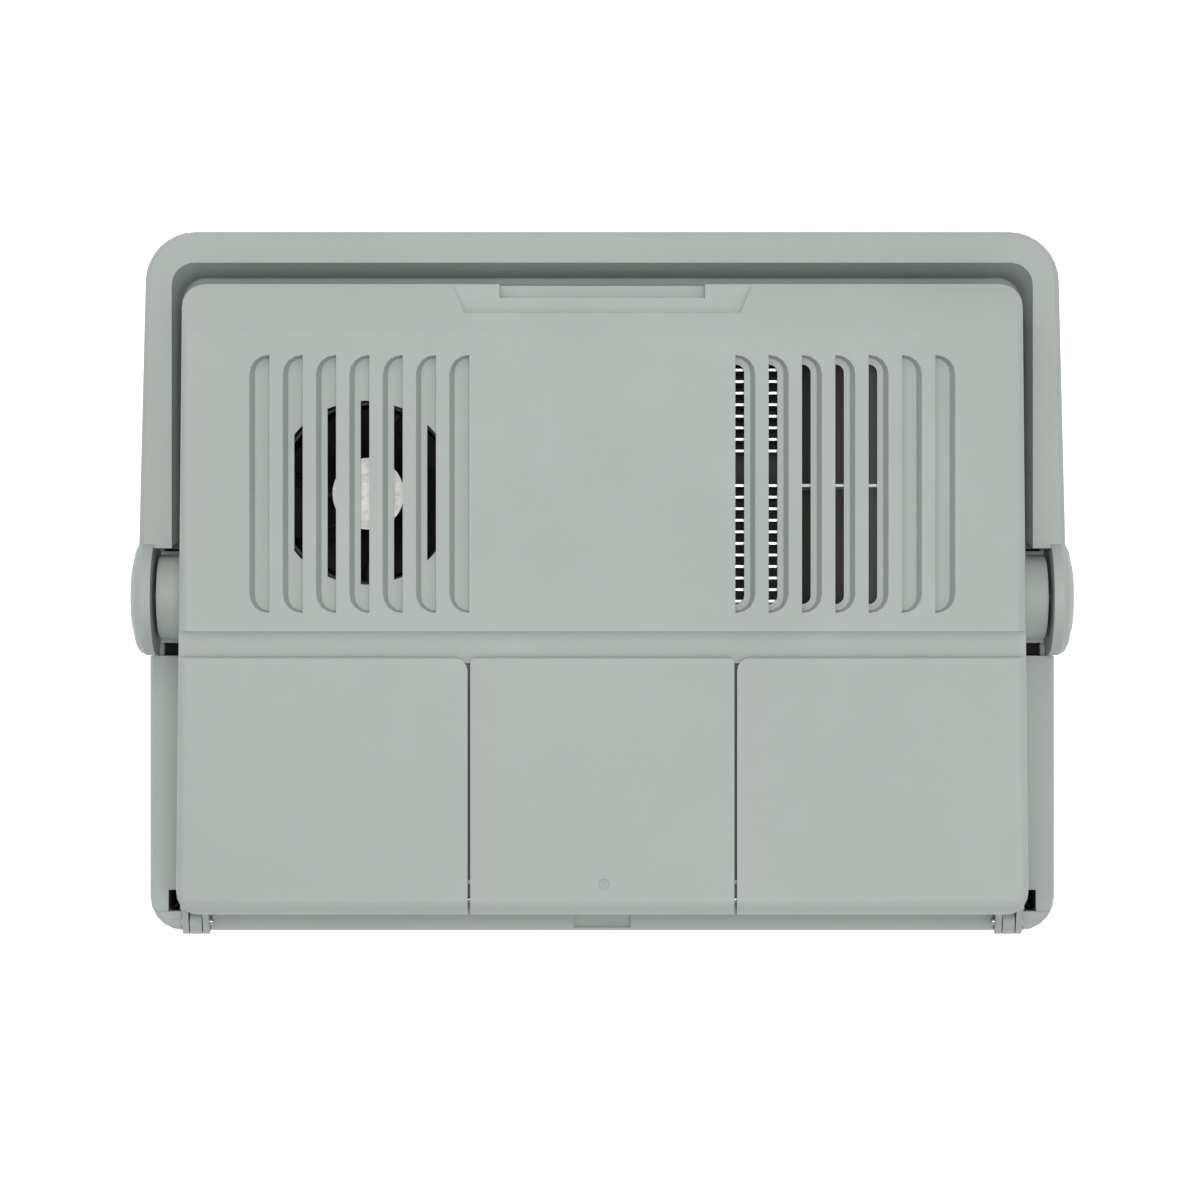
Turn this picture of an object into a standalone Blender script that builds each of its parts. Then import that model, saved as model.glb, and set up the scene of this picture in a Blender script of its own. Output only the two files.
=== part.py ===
"""Portable thermoelectric cool box with a folding carry handle, a hinged lid that holds the
cooling unit, and three covered compartments along the lid's rear half.

Metres, +Z up. The box stands on z = 0 and opens at the front, +Y. The drawing is laid out about the
handle's axis (y = 0 in the drawing) and is then moved so that the middle of its footprint is the origin."""

import math

import bmesh
import bpy
from mathutils import Matrix, Vector

# ---- overall sizes -------------------------------------------------------------------------
GAP = 0.0003              # between pieces that touch
SKIN = 0.0025             # moulded wall of lid, shell and lid base
BEYOND = 0.5              # how far a cutter reaches where it must pass everything
RIM_HALF_X = 0.2018       # rim, outside
RIM_HALF_Y = 0.1488
RIM_CORNER = 0.0150
RIM_TOP = 0.3450
LID_HEIGHT = 0.0590
LID_HALF_X = RIM_HALF_X - 0.0180    # at the lid's rear edge
LID_NARROWING = 0.0026    # how much each side has closed in by the lid's front edge
LID_FRONT_Y = RIM_HALF_Y - 0.0136
LID_REAR_Y = -RIM_HALF_Y + 0.0117
LID_CORNER = 0.0100
LID_BOTTOM = RIM_TOP + 0.0010
LID_TOP = LID_BOTTOM + LID_HEIGHT
LID_EDGE = 0.0040         # rounding along the lid's top edge

# ---- body ----------------------------------------------------------------------------------
FOOT_RADIUS = 0.0110
FOOT_HEIGHT = 0.0060
FOOT_INSET = 0.0420
SHELL_TOP = RIM_TOP - 0.0105
SHELL_DRAFT = 0.0090      # how much each side leans in towards the floor
SHELL_FOOT_ROUND = 0.0060
FOAM_THICKNESS = 0.0225
LINER_WALL = 0.0020
SKIRT_HEIGHT = 0.0270     # rim's outer skirt
SKIRT_WALL = 0.0025
LIP_WIDTH = 0.0038
GUTTER_Z = RIM_TOP - 0.0020
LEDGE_OUTER = 0.0173      # rim's inner ledge, in from the rim's outer face
LEDGE_INNER = 0.0305
RIM_LIP_BOTTOM = RIM_TOP - 0.0125
SHELL_INSET = SKIRT_WALL + GAP
FOAM_INSET = SHELL_INSET + SKIN + GAP
LINER_INSET = LEDGE_INNER - LINER_WALL
FOAM_WALL = LINER_INSET - GAP - FOAM_INSET
SHELL_FLOOR = FOOT_HEIGHT + GAP + SKIN
FOAM_FLOOR = SHELL_FLOOR + GAP + FOAM_THICKNESS

# ---- handle --------------------------------------------------------------------------------
DISC_RADIUS = 0.0257
DISC_OUTER_X = RIM_HALF_X + 0.0032
DISC_INNER_X = DISC_OUTER_X - 0.0082
DISC_FLOOR_X = DISC_OUTER_X - 0.0040
PIVOT_Z = SHELL_TOP + 0.0018 + DISC_RADIUS
ARM_OUTER_X = RIM_HALF_X + 0.0022
ARM_INNER_X = ARM_OUTER_X - 0.0151    # at the handle's upper face
ARM_SPREAD = 0.0027       # how much further in the arms reach at the lower face
ARM_TAPER = 0.0034        # the arms close in towards the crossbar
BAR_HALF_Z = 0.0110
BAR_OUTER_Y = RIM_HALF_Y + 0.0116
BAR_INNER_Y = BAR_OUTER_Y - 0.0137
BAR_SPREAD = 0.0048
BAR_EDGE = 0.0022
BAR_OUTER_CORNER = 0.0220
BAR_INNER_CORNER = 0.0100
CAP_RADIUS = 0.0200
CAP_OUTER_X = DISC_OUTER_X + 0.0020
BOSS_RADIUS = 0.0185
BOSS_INNER_X = RIM_HALF_X - 0.0186
BOSS_OUTER_X = DISC_INNER_X - 0.0017
ARM_END_RADIUS = 0.0242   # the arms stop this far from the pivot, clear of the boss
AXLE_RADIUS = 0.0040
AXLE_HEAD_RADIUS = 0.0080

# ---- lid hinge -----------------------------------------------------------------------------
HINGE_Y = LID_REAR_Y - 0.0074
HINGE_Z = LID_BOTTOM + 0.0015
LUG_RADIUS = 0.0056
LUG_INNER = (LID_HALF_X - 0.0090, LID_HALF_X - 0.0064)
LUG_OUTER = (LID_HALF_X - 0.0001, LID_HALF_X + 0.0027)
LUG_PLAY = 0.0005         # room at each side of a lug
HINGE_PIN_RADIUS = 0.0016
HINGE_HOLE = (LUG_INNER[0] - 0.0060, LUG_OUTER[1] + 0.0120)
REAR_REACH = -HINGE_Y + LUG_RADIUS
PIVOT_Y = (REAR_REACH - BAR_OUTER_Y) / 2

# ---- lid top -------------------------------------------------------------------------------
SLOPE_Y = LID_FRONT_Y - 0.0222   # where the front slope begins
SLOPE_DROP = 0.0040
GROOVE_FRONT_Y = -0.0148
GROOVE_Z = LID_TOP - 0.0040
DOOR_FRONT_Y = GROOVE_FRONT_Y - 0.0110
DOOR_THICKNESS = 0.0024
DOOR_SPLIT_X = 0.0574
DOOR_GAP = 0.0012
DOOR_REAR_ROUND = 0.0065
DOOR_LIP = 0.0045
DOOR_CORNER_OUTER = 0.0060
DOOR_CORNER_CENTRE = 0.0026
DECK_Z = LID_TOP - 0.0028       # what the doors lie on
LEDGE_Z = LID_TOP - 0.0114
TROUGH_Z = LID_TOP - 0.0148
TROUGH_Y = LID_REAR_Y + 0.0134
ROD_RADIUS = 0.0012
ROD_Y = LID_REAR_Y + DOOR_REAR_ROUND
ROD_Z = LID_TOP - DOOR_REAR_ROUND
BARREL_RADIUS = 0.0032
GRIP_HALF_X = 0.0640
GRIP_TAPER = 0.0044
GRIP_BACK_Y = LID_FRONT_Y - 0.0127
GRIP_FLOOR = LID_TOP - 0.0065
FINGER_HALF_X = 0.0444
FINGER_BACK_Y = LID_FRONT_Y - 0.0060
FINGER_FLOOR = LID_TOP - 0.0170

# ---- grilles -------------------------------------------------------------------------------
SLOT_COUNT = 7
SLOT_FIRST_X = LID_HALF_X * 0.3112    # inner edge of the slot nearest the lid's middle
SLOT_LAST_X = LID_HALF_X - 0.0406
SLOT_PITCH = (SLOT_LAST_X - SLOT_FIRST_X) / (SLOT_COUNT - 1)
SLOT_WIDTH = SLOT_PITCH * 0.60
SLOT_FLOOR_WIDTH = SLOT_PITCH * 0.46
SLOT_HOLE_WIDTH = SLOT_PITCH * 0.28
SLOT_FRONT_Y = LID_FRONT_Y - 0.0311
SLOT_REAR_Y = GROOVE_FRONT_Y + 0.0079
SLOT_LENGTH = SLOT_FRONT_Y - SLOT_REAR_Y
SLOT_CENTRE_Y = (SLOT_FRONT_Y + SLOT_REAR_Y) / 2
SLOT_END = 0.0038         # from a slot's end to the end of the hole in its floor
SLOT_FLOOR_Z = LID_TOP - 0.0045
GRILLE_BOTTOM = SLOT_FLOOR_Z - 0.0015
OPEN_SLOTS = {-1: (1, 2, 3, 4, 5), 1: (0, 1, 2, 3, 4)}    # counted outwards from the middle

# ---- cooling unit --------------------------------------------------------------------------
DUCT_TOP = GRILLE_BOTTOM - GAP
DUCT_PLATE = 0.0020
DUCT_WALL = 0.0015
DUCT_HALF_X = LID_HALF_X - 0.0238
DUCT_RIGHT = SLOT_FIRST_X + 4 * SLOT_PITCH + SLOT_FLOOR_WIDTH + 0.0040
PLUG_BOTTOM = RIM_TOP - 0.0210
PLUG_HALF_X = LID_HALF_X - 0.0163
PLUG_HALF_Y = LID_FRONT_Y - 0.0216
FLANGE_Z = RIM_TOP + 0.0030
FOAM_TOP = RIM_TOP + 0.0070
FAN_SIZE = 0.0800
FAN_X = -(SLOT_FIRST_X + SLOT_LAST_X + SLOT_HOLE_WIDTH) / 2
FAN_Y = SLOT_CENTRE_Y - 0.0036
FAN_LOW = FOAM_TOP + 0.0087
FAN_TOP = FAN_LOW + 0.0250
FAN_BORE = FAN_SIZE / 2 - 0.0015
FAN_HOLE = FAN_SIZE / 2 - 0.0003
FAN_HUB = FAN_SIZE / 5
SINK_LEFT = FAN_X + FAN_SIZE / 2 + 0.0051
SINK_RIGHT = DUCT_RIGHT - 0.0435
SINK_BASE = 0.0050
FIN_PITCH = 0.0050
FIN_THICKNESS = 0.0012
FIN_ROWS = round((SLOT_LENGTH - 0.0060) / FIN_PITCH)
BARE_ROWS = (FIN_ROWS * 2 // 5, FIN_ROWS * 2 // 5 + 1)   # rows left out for the clamp screws, from the front
COOLER_X = (SINK_LEFT + SINK_RIGHT) / 2
COOLER_Y = SLOT_CENTRE_Y - 0.0004
MODULE_SIZE = 0.0400
MODULE_HEIGHT = 0.0038
INNER_FAN_SIZE = 0.0600
INNER_FAN_HEIGHT = 0.0125
INNER_FAN_HUB = 0.0120
INNER_COVER_BOTTOM = PLUG_BOTTOM - 0.0340
INNER_COVER_HALF_X = 0.0620
INNER_COVER_HALF_Y = 0.0520
COLD_BASE = 0.0042
COLD_FIN_DROP = 0.0120
COLD_FIN_ROWS = 13
COLD_FIN_PITCH = 0.0062
COLD_HALF_X = 0.0500

# ---- compartments --------------------------------------------------------------------------
TRAY_HALF_X = LID_HALF_X - 0.0081
TRAY_FRONT_Y = DOOR_FRONT_Y - 0.0031
TRAY_REAR_Y = LID_REAR_Y + 0.0156
TRAY_WALL = 0.0020
PANEL_Z = LID_TOP - 0.0200      # floor of the shallow middle compartment
PANEL_Y = (TRAY_FRONT_Y + TRAY_REAR_Y) / 2
MAINS_AT = (-0.0300, PANEL_Y)
SOCKET_AT = (0.0040, PANEL_Y)
SWITCH_AT = (0.0340, PANEL_Y)
LAMP_AT = (0.0340, PANEL_Y + 0.0180)
SWITCH_TRAVEL = 0.0040
BOARD_Z = PANEL_Z - 0.0210
BOARD_THICKNESS = 0.0016
BOARD_HALF_X = DOOR_SPLIT_X - 0.0034
BOARD_REAR_Y = TRAY_REAR_Y + TRAY_WALL + 0.0020
BOARD_FRONT_Y = TRAY_FRONT_Y - TRAY_WALL - 0.0020

MATERIALS = {}


# ---- drawing tools -------------------------------------------------------------------------
def material(name):
    """The named material, made on first use from its colour, roughness and metallic value."""
    colour, roughness, metallic = {
        "body_plastic": ((0.44, 0.47, 0.445), 0.55, 0.0),
        "liner_plastic": ((0.72, 0.74, 0.74), 0.40, 0.0),
        "dark_plastic": ((0.020, 0.020, 0.022), 0.50, 0.0),
        "foam": ((0.80, 0.74, 0.56), 0.90, 0.0),
        "rubber": ((0.030, 0.030, 0.032), 0.85, 0.0),
        "aluminium": ((0.62, 0.62, 0.63), 0.40, 1.0),
        "steel": ((0.55, 0.55, 0.56), 0.30, 1.0),
        "ceramic": ((0.85, 0.85, 0.82), 0.50, 0.0),
        "circuit_board": ((0.02, 0.16, 0.06), 0.45, 0.0),
        "lamp_lens": ((0.10, 0.55, 0.15), 0.20, 0.0),
        "component": ((0.35, 0.27, 0.10), 0.50, 0.0),
    }[name]
    if name not in MATERIALS:
        made = bpy.data.materials.new(name)
        made.use_nodes = True
        shader = made.node_tree.nodes["Principled BSDF"]
        shader.inputs["Base Color"].default_value = (*colour, 1.0)
        shader.inputs["Roughness"].default_value = roughness
        shader.inputs["Metallic"].default_value = metallic
        MATERIALS[name] = made
    return MATERIALS[name]


def outline(x0, x1, y0, y1, radii, steps=4):
    """A rectangle with its own radius at each corner: front right, front left, rear left, rear right."""
    if not isinstance(radii, (tuple, list)):
        radii = (radii,) * 4
    corners = ((x1, y1, 0), (x0, y1, 1), (x0, y0, 2), (x1, y0, 3))
    points = []
    for (x, y, quarter), radius in zip(corners, radii):
        radius = max(radius, GAP)
        centre_x = x - math.copysign(radius, x - (x0 + x1) / 2)
        centre_y = y - math.copysign(radius, y - (y0 + y1) / 2)
        for step in range(steps + 1):
            angle = (quarter + step / steps) * math.pi / 2
            points.append((centre_x + radius * math.cos(angle), centre_y + radius * math.sin(angle)))
    return points


def centred(half_x, half_y, radius, centre=(0.0, 0.0), steps=4):
    x, y = centre
    return outline(x - half_x, x + half_x, y - half_y, y + half_y, radius, steps)


def mirrored(side, ends):
    """Two distances from the middle, as low and high values on the side given: -1 left or 1 right."""
    return tuple(sorted((side * ends[0], side * ends[1])))


def circle(radius, centre=(0.0, 0.0), steps=32):
    turns = [2 * math.pi * step / steps for step in range(steps)]
    return [(centre[0] + radius * math.cos(a), centre[1] + radius * math.sin(a)) for a in turns]


def placed(point, along, axis):
    """A drawing point at a distance along an axis: Z takes (x, y), X takes (y, z), Y takes (x, z)."""
    u, v = point
    return {"Z": (u, v, along), "X": (along, u, v), "Y": (u, along, v)}[axis]


def solid(name, loops, finish, ring=False):
    """Skins a row of loops of equal length; the ends are capped, or joined to each other for a ring."""
    grid = bmesh.new()
    rows = [[grid.verts.new(point) for point in loop] for loop in loops]
    count = len(rows[0])
    for lower, upper in zip(rows, rows[1:] + (rows[:1] if ring else [])):
        for i in range(count):
            j = (i + 1) % count
            grid.faces.new((lower[i], lower[j], upper[j], upper[i]))
    if not ring:
        grid.faces.new(rows[0])
        grid.faces.new(rows[-1])
    bmesh.ops.recalc_face_normals(grid, faces=grid.faces)
    mesh = bpy.data.meshes.new(name)
    grid.to_mesh(mesh)
    grid.free()
    mesh.materials.append(material(finish))
    piece = bpy.data.objects.new(name, mesh)
    bpy.context.scene.collection.objects.link(piece)
    return piece


def prism(name, points, low, high, axis="Z", finish="body_plastic"):
    return solid(name, [[placed(p, along, axis) for p in points] for along in (low, high)], finish)


def block(name, x, y, z, finish="body_plastic"):
    """A box between two values on each axis."""
    corners = [(x[0], y[0]), (x[1], y[0]), (x[1], y[1]), (x[0], y[1])]
    return prism(name, corners, z[0], z[1], "Z", finish)


def combine(piece, others, operation):
    """Cuts the others from a piece, joins them to it or keeps what they share, and removes them."""
    for other in others:
        step = piece.modifiers.new(operation, "BOOLEAN")
        step.operation = operation
        step.object = other
    bpy.context.view_layer.update()
    shaped = piece.evaluated_get(bpy.context.evaluated_depsgraph_get())
    mesh = bpy.data.meshes.new_from_object(shaped)
    piece.modifiers.clear()
    piece.data = mesh
    for other in others:
        bpy.data.objects.remove(other)
    return piece


def cut(piece, *others):
    return combine(piece, others, "DIFFERENCE")


def join(piece, *others):
    return combine(piece, others, "UNION")


def keep(piece, *others):
    return combine(piece, others, "INTERSECT")


def hinged(piece, origin):
    """Puts a moving piece's origin on its joint, with the shape left where it is."""
    piece.data.transform(Matrix.Translation(-Vector(origin)))
    piece.location = origin
    return piece


def arc(centre, radius, start, end, steps=4):
    """Points from one angle to another, in degrees."""
    angles = [math.radians(start + (end - start) * step / steps) for step in range(steps + 1)]
    return [(centre[0] + radius * math.cos(a), centre[1] + radius * math.sin(a)) for a in angles]


# ---- body ----------------------------------------------------------------------------------
def body_loop(inset, z, steps=5):
    """A loop that runs round the body at a distance in from the rim's outer face."""
    half_x, half_y = RIM_HALF_X - inset, RIM_HALF_Y - inset
    corner = max(RIM_CORNER - inset, 0.006)
    return [(x, y, z) for x, y in centred(half_x, half_y, corner, steps=steps)]


def cup(name, inset, wall, bottom, top, floor, draft, finish, foot_round=0.0):
    """An open box: its outside leans in by the draft at the bottom, and its wall keeps its width."""
    loops = []
    if foot_round:
        loops.append(body_loop(inset + draft + foot_round, bottom))
    loops.append(body_loop(inset + draft, bottom + foot_round))
    loops.append(body_loop(inset, top))
    loops.append(body_loop(inset + wall, top))
    loops.append(body_loop(inset + wall + draft, floor))
    return solid(name, loops, finish)


def outer_shell():
    cup("outer_shell", SHELL_INSET, SKIN, FOOT_HEIGHT + GAP, SHELL_TOP, SHELL_FLOOR,
        SHELL_DRAFT, "body_plastic", SHELL_FOOT_ROUND)


def foam_insulation():
    foam = cup("foam_insulation", FOAM_INSET, FOAM_WALL, SHELL_FLOOR + GAP, SHELL_TOP - SKIN, FOAM_FLOOR,
               SHELL_DRAFT, "foam", SHELL_FOOT_ROUND)
    cut(foam, *[corner_pocket(side, SHELL_TOP - 0.04) for side in (-1, 1)])


def inner_liner():
    cup("inner_liner", LINER_INSET, LINER_WALL, FOAM_FLOOR + GAP, RIM_LIP_BOTTOM - GAP,
        FOAM_FLOOR + GAP + LINER_WALL, SHELL_DRAFT, "liner_plastic")


def corner_pocket(side, low):
    """Drain hole beside a hinge, through the rim and on down into the foam."""
    return block("pocket", mirrored(side, (LUG_OUTER[1] + 0.0006, LUG_OUTER[1] + 0.0071)),
                 (-RIM_HALF_Y + 0.0087, -RIM_HALF_Y + 0.0181), (low, RIM_TOP + 0.01))


def top_rim():
    """Frame round the mouth: outer lip, gutter and inner ledge, hollow underneath."""
    skirt = RIM_TOP - SKIRT_HEIGHT
    under = RIM_TOP - SKIN
    top_side = [
        (0.0, skirt), (0.0, RIM_TOP - 0.0016), (0.0012, RIM_TOP), (LIP_WIDTH, RIM_TOP),
        (LEDGE_OUTER - 0.0040, GUTTER_Z), (LEDGE_OUTER - 0.0008, GUTTER_Z), (LEDGE_OUTER, RIM_TOP),
        (LEDGE_INNER, RIM_TOP), (LEDGE_INNER, RIM_LIP_BOTTOM),
    ]
    underside = [
        (LEDGE_INNER - SKIN, RIM_LIP_BOTTOM), (LEDGE_INNER - SKIN, under),
        (LEDGE_OUTER + SKIN, under), (LEDGE_OUTER + SKIN * 0.4, GUTTER_Z - SKIN),
        (LEDGE_OUTER - 0.0050, GUTTER_Z - SKIN), (LIP_WIDTH + 0.0003, under - 0.0012),
        (SKIRT_WALL, under - 0.0012), (SKIRT_WALL, skirt),
    ]
    rim = solid("top_rim", [body_loop(*point) for point in top_side + underside], "body_plastic", ring=True)
    knuckle_x = (LUG_INNER[1] + LUG_PLAY, LUG_OUTER[0] - LUG_PLAY)
    corner_x = (LUG_OUTER[1] + 0.0012, RIM_HALF_X - 0.0005)
    above = RIM_TOP + 0.01
    for side in (-1, 1):
        knuckle = prism("knuckle", circle(LUG_RADIUS, (HINGE_Y, HINGE_Z), 24), *mirrored(side, knuckle_x), "X")
        stand = block("stand", mirrored(side, knuckle_x), (HINGE_Y - 0.0048, HINGE_Y + 0.0052),
                      (GUTTER_Z - 0.001, HINGE_Z))
        corner = block("corner", mirrored(side, corner_x), (-RIM_HALF_Y + 0.0005, -RIM_HALF_Y + 0.0086),
                       (GUTTER_Z - 0.001, RIM_TOP + 0.0008))
        keep(corner, solid("form", [body_loop(0.0004, GUTTER_Z - 0.002), body_loop(0.0004, RIM_TOP - 0.0004),
                                    body_loop(0.0018, RIM_TOP + 0.0010)], "body_plastic"))
        lug_ways = [block("way", mirrored(side, (low - LUG_PLAY, high + LUG_PLAY)),
                          (HINGE_Y - LUG_RADIUS - LUG_PLAY, HINGE_Y + LUG_RADIUS + LUG_PLAY),
                          (HINGE_Z - LUG_RADIUS - LUG_PLAY, above)) for low, high in (LUG_INNER, LUG_OUTER)]
        seat = block("seat", mirrored(side, (BOSS_INNER_X - GAP, RIM_HALF_X + 0.001)),
                     (-DISC_RADIUS - 0.0005, DISC_RADIUS + 0.0005), (SHELL_TOP, above))
        join(rim, corner, stand, knuckle)
        cut(rim, corner_pocket(side, GUTTER_Z - 0.02), seat, hinge_hole(side), *lug_ways)
    cable_notch = block("cable_notch", (-0.0126, 0.0126), (-RIM_HALF_Y + 0.0014, -RIM_HALF_Y + 0.0090),
                        (GUTTER_Z - 0.0005, above))
    cut(rim, cable_notch)


def hinge_hole(side):
    return prism("hole", circle(HINGE_PIN_RADIUS + GAP, (HINGE_Y, HINGE_Z), 16), *mirrored(side, HINGE_HOLE), "X")


def handle_hub(side, name):
    """Block in the rim's side that carries the handle's pivot on a round boss."""
    foot_half = BOSS_RADIUS + 0.0020
    hub = block(name, mirrored(side, (BOSS_INNER_X, RIM_HALF_X - GAP)), (-foot_half, foot_half),
                (SHELL_TOP + GAP, GUTTER_Z))
    ends = mirrored(side, (BOSS_INNER_X, BOSS_OUTER_X))
    ear_half = BOSS_RADIUS - 0.0025
    ear = block("ear", ends, (-ear_half, ear_half), (GUTTER_Z - 0.001, PIVOT_Z))
    boss = prism("boss", circle(BOSS_RADIUS, (0.0, PIVOT_Z)), *ends, "X")
    swing = prism("swing", circle(DISC_RADIUS + 0.0009, (0.0, PIVOT_Z)),
                  side * (DISC_INNER_X - 0.0004), side * (RIM_HALF_X + 0.01), "X")
    bore = prism("bore", circle(AXLE_RADIUS + GAP, (0.0, PIVOT_Z), 16),
                 side * (BOSS_INNER_X + 0.0020), side * (DISC_OUTER_X + 0.01), "X")
    join(hub, ear, boss)
    cut(hub, swing, bore)


def feet():
    for side, end, name in ((-1, 1, "front_left"), (1, 1, "front_right"), (-1, -1, "rear_left"), (1, -1, "rear_right")):
        centre = (side * (RIM_HALF_X - FOOT_INSET), end * (RIM_HALF_Y - FOOT_INSET))
        loops = [[(x, y, z) for x, y in circle(FOOT_RADIUS - inset, centre, 24)]
                 for inset, z in ((0.0015, 0.0), (0.0, 0.0015), (0.0, FOOT_HEIGHT))]
        solid("foot_" + name, loops, "rubber")


def hinge_pins():
    for side, name in ((-1, "left"), (1, "right")):
        prism("hinge_pin_" + name, circle(HINGE_PIN_RADIUS, (HINGE_Y, HINGE_Z), 16),
              side * (LUG_INNER[0] - 0.0015), side * (LUG_OUTER[1] + 0.0010), "X", "steel")


# ---- handle --------------------------------------------------------------------------------
def handle_side(x, y, taper, radius):
    """The right half of the handle's outline: up the arm and round the corner into the crossbar."""
    return [(x, -0.0010)] + arc((x - taper - radius, y - radius), radius, 0, 90, 8)


def carry_handle():
    """U-shaped carry handle; its arms end in discs that turn outside the bosses."""
    rows = ((-1.0, BAR_EDGE, 1.0), (-0.8, 0.0, 1.0), (-0.2, 0.0, 0.90), (0.35, 0.0, 0.55), (0.8, 0.0, 0.12),
            (1.0, BAR_EDGE, 0.0))
    loops = []
    for height, inset, spread in rows:
        outer = handle_side(ARM_OUTER_X - inset, BAR_OUTER_Y - inset, ARM_TAPER, BAR_OUTER_CORNER - inset)
        inner = handle_side(ARM_INNER_X - ARM_SPREAD * spread, BAR_INNER_Y - BAR_SPREAD * spread, 0.0, BAR_INNER_CORNER)
        shape = outer + [(-x, y) for x, y in outer[::-1]] + [(-x, y) for x, y in inner] + inner[::-1]
        loops.append([(x, y, PIVOT_Z + BAR_HALF_Z * height) for x, y in shape])
    handle = solid("carry_handle", loops, "body_plastic")
    inside, outside = ARM_INNER_X - 0.0078, CAP_OUTER_X + 0.0120
    for side in (-1, 1):
        profile = ((DISC_RADIUS, DISC_INNER_X), (DISC_RADIUS, DISC_OUTER_X - 0.0038),
                   (DISC_RADIUS - 0.0014, DISC_OUTER_X - 0.0014), (DISC_RADIUS - 0.0040, DISC_OUTER_X),
                   (CAP_RADIUS + GAP, DISC_OUTER_X), (CAP_RADIUS + GAP, DISC_FLOOR_X))
        disc = [[(side * x, y, z) for y, z in circle(radius, (0.0, PIVOT_Z))] for radius, x in profile]
        round_end = prism("round_end", circle(ARM_END_RADIUS, (0.0, PIVOT_Z)),
                          side * inside, side * (DISC_INNER_X + 0.0002), "X")
        cap_room = prism("cap_room", circle(CAP_RADIUS + 0.0025, (0.0, PIVOT_Z)),
                         side * (DISC_FLOOR_X - 0.0015), side * outside, "X")
        cut(handle, round_end, cap_room)
        join(handle, solid("disc", disc, "body_plastic"))
        bore = prism("bore", circle(AXLE_RADIUS + GAP, (0.0, PIVOT_Z), 16), side * inside, side * outside, "X")
        cut(handle, bore)
    hinged(handle, (0.0, 0.0, PIVOT_Z))


def handle_caps():
    """Domed covers over the pivots' heads, hollow on the inside."""
    floor = DISC_FLOOR_X + GAP
    for side, name in ((-1, "left"), (1, "right")):
        rings = [(CAP_RADIUS, floor), (CAP_RADIUS, DISC_OUTER_X + 0.0002), (CAP_RADIUS - 0.004, CAP_OUTER_X - 0.0006),
                 (CAP_RADIUS - 0.011, CAP_OUTER_X)]
        cap = solid("handle_cap_" + name, [[(side * x, y, z) for y, z in circle(r, (0.0, PIVOT_Z))]
                                           for r, x in rings], "body_plastic")
        room = prism("room", circle(AXLE_HEAD_RADIUS + 0.0008, (0.0, PIVOT_Z), 24),
                     side * (floor - 0.001), side * (floor + 0.0031), "X")
        cut(cap, room)
        hinged(cap, (0.0, 0.0, PIVOT_Z))


def pivot_axles():
    """Headed studs from the hubs through the handle's discs."""
    for side, name in ((-1, "left"), (1, "right")):
        head = DISC_FLOOR_X + GAP
        axle = prism("pivot_axle_" + name, circle(AXLE_RADIUS, (0.0, PIVOT_Z), 16),
                     side * (BOSS_INNER_X + 0.0023), side * (head + 0.0020), "X", "steel")
        join(axle, prism("head", circle(AXLE_HEAD_RADIUS, (0.0, PIVOT_Z), 24),
                         side * head, side * (head + 0.0028), "X", "steel"))


# ---- lid -----------------------------------------------------------------------------------
def narrowed(points):
    """The lid closes in a little towards its front."""
    share = LID_NARROWING / LID_HALF_X / (LID_FRONT_Y - LID_REAR_Y)
    return [(x * (1 - share * (y - LID_REAR_Y)), y) for x, y in points]


def lid_form(name, inset, bottom, top, edge, rear=LID_REAR_Y, finish="body_plastic"):
    """The lid's outer form, or one a wall inside it: a rounded block with a rounded top edge."""
    loops = []
    half_x, front, back = LID_HALF_X - inset, LID_FRONT_Y - inset, rear + inset
    for step in (None, 0, 1, 2, 3):
        turn = 0.0 if step is None else step / 3 * math.pi / 2
        shrink = edge * (1 - math.cos(turn))
        z = bottom if step is None else top - edge * (1 - math.sin(turn))
        corner = max(LID_CORNER - inset - shrink, 0.001)
        shape = outline(-half_x + shrink, half_x - shrink, back + shrink, front - shrink, corner, 5)
        loops.append([(x, y, z) for x, y in narrowed(shape)])
    form = solid(name, loops, finish)
    slope = [(SLOPE_Y, top), (front - 0.006, top - SLOPE_DROP)]
    slope += arc((front - 0.006, top - SLOPE_DROP - 0.0075), 0.0075, 82, 0, 3)
    slope += [(front + 0.01, top - SLOPE_DROP - 0.009), (front + 0.01, top + 0.01), (SLOPE_Y, top + 0.01)]
    return cut(form, prism("slope", slope, -BEYOND, BEYOND, "X"))


def slot(side, index):
    """One louvre slot: square ends towards the lid's middle, round ends and a sloping wall outwards."""
    inner = SLOT_FIRST_X + index * SLOT_PITCH
    slope = (SLOT_WIDTH - SLOT_FLOOR_WIDTH) / (LID_TOP - SLOT_FLOOR_Z)
    loops = []
    for z in (SLOT_FLOOR_Z, LID_TOP + 0.001):
        width = SLOT_FLOOR_WIDTH + slope * (z - SLOT_FLOOR_Z)
        end = (width - SLOT_WIDTH) / 2
        loops.append([(x, y, z) for x, y in slot_outline(side, inner, width, end)])
    return solid("slot", loops, "body_plastic")


def slot_outline(side, inner, width, end):
    low, high = mirrored(side, (inner, inner + width))
    radius = width - 0.0004
    radii = (radius, 0, 0, radius) if side > 0 else (0, radius, radius, 0)
    return outline(low, high, SLOT_REAR_Y - end, SLOT_FRONT_Y + end, radii, 4)


def slot_hole(side, index):
    """Hole in a slot's floor, along its inner edge; over the fan it stops at the fan's circle."""
    inner = SLOT_FIRST_X + index * SLOT_PITCH
    hole = prism("hole", slot_outline(side, inner, SLOT_HOLE_WIDTH, -SLOT_END), GRILLE_BOTTOM - 0.001, LID_TOP)
    if side < 0:
        keep(hole, prism("circle", circle(FAN_HOLE, (FAN_X, FAN_Y), 48), GRILLE_BOTTOM - 0.002, LID_TOP + 0.001))
    return hole


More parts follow.
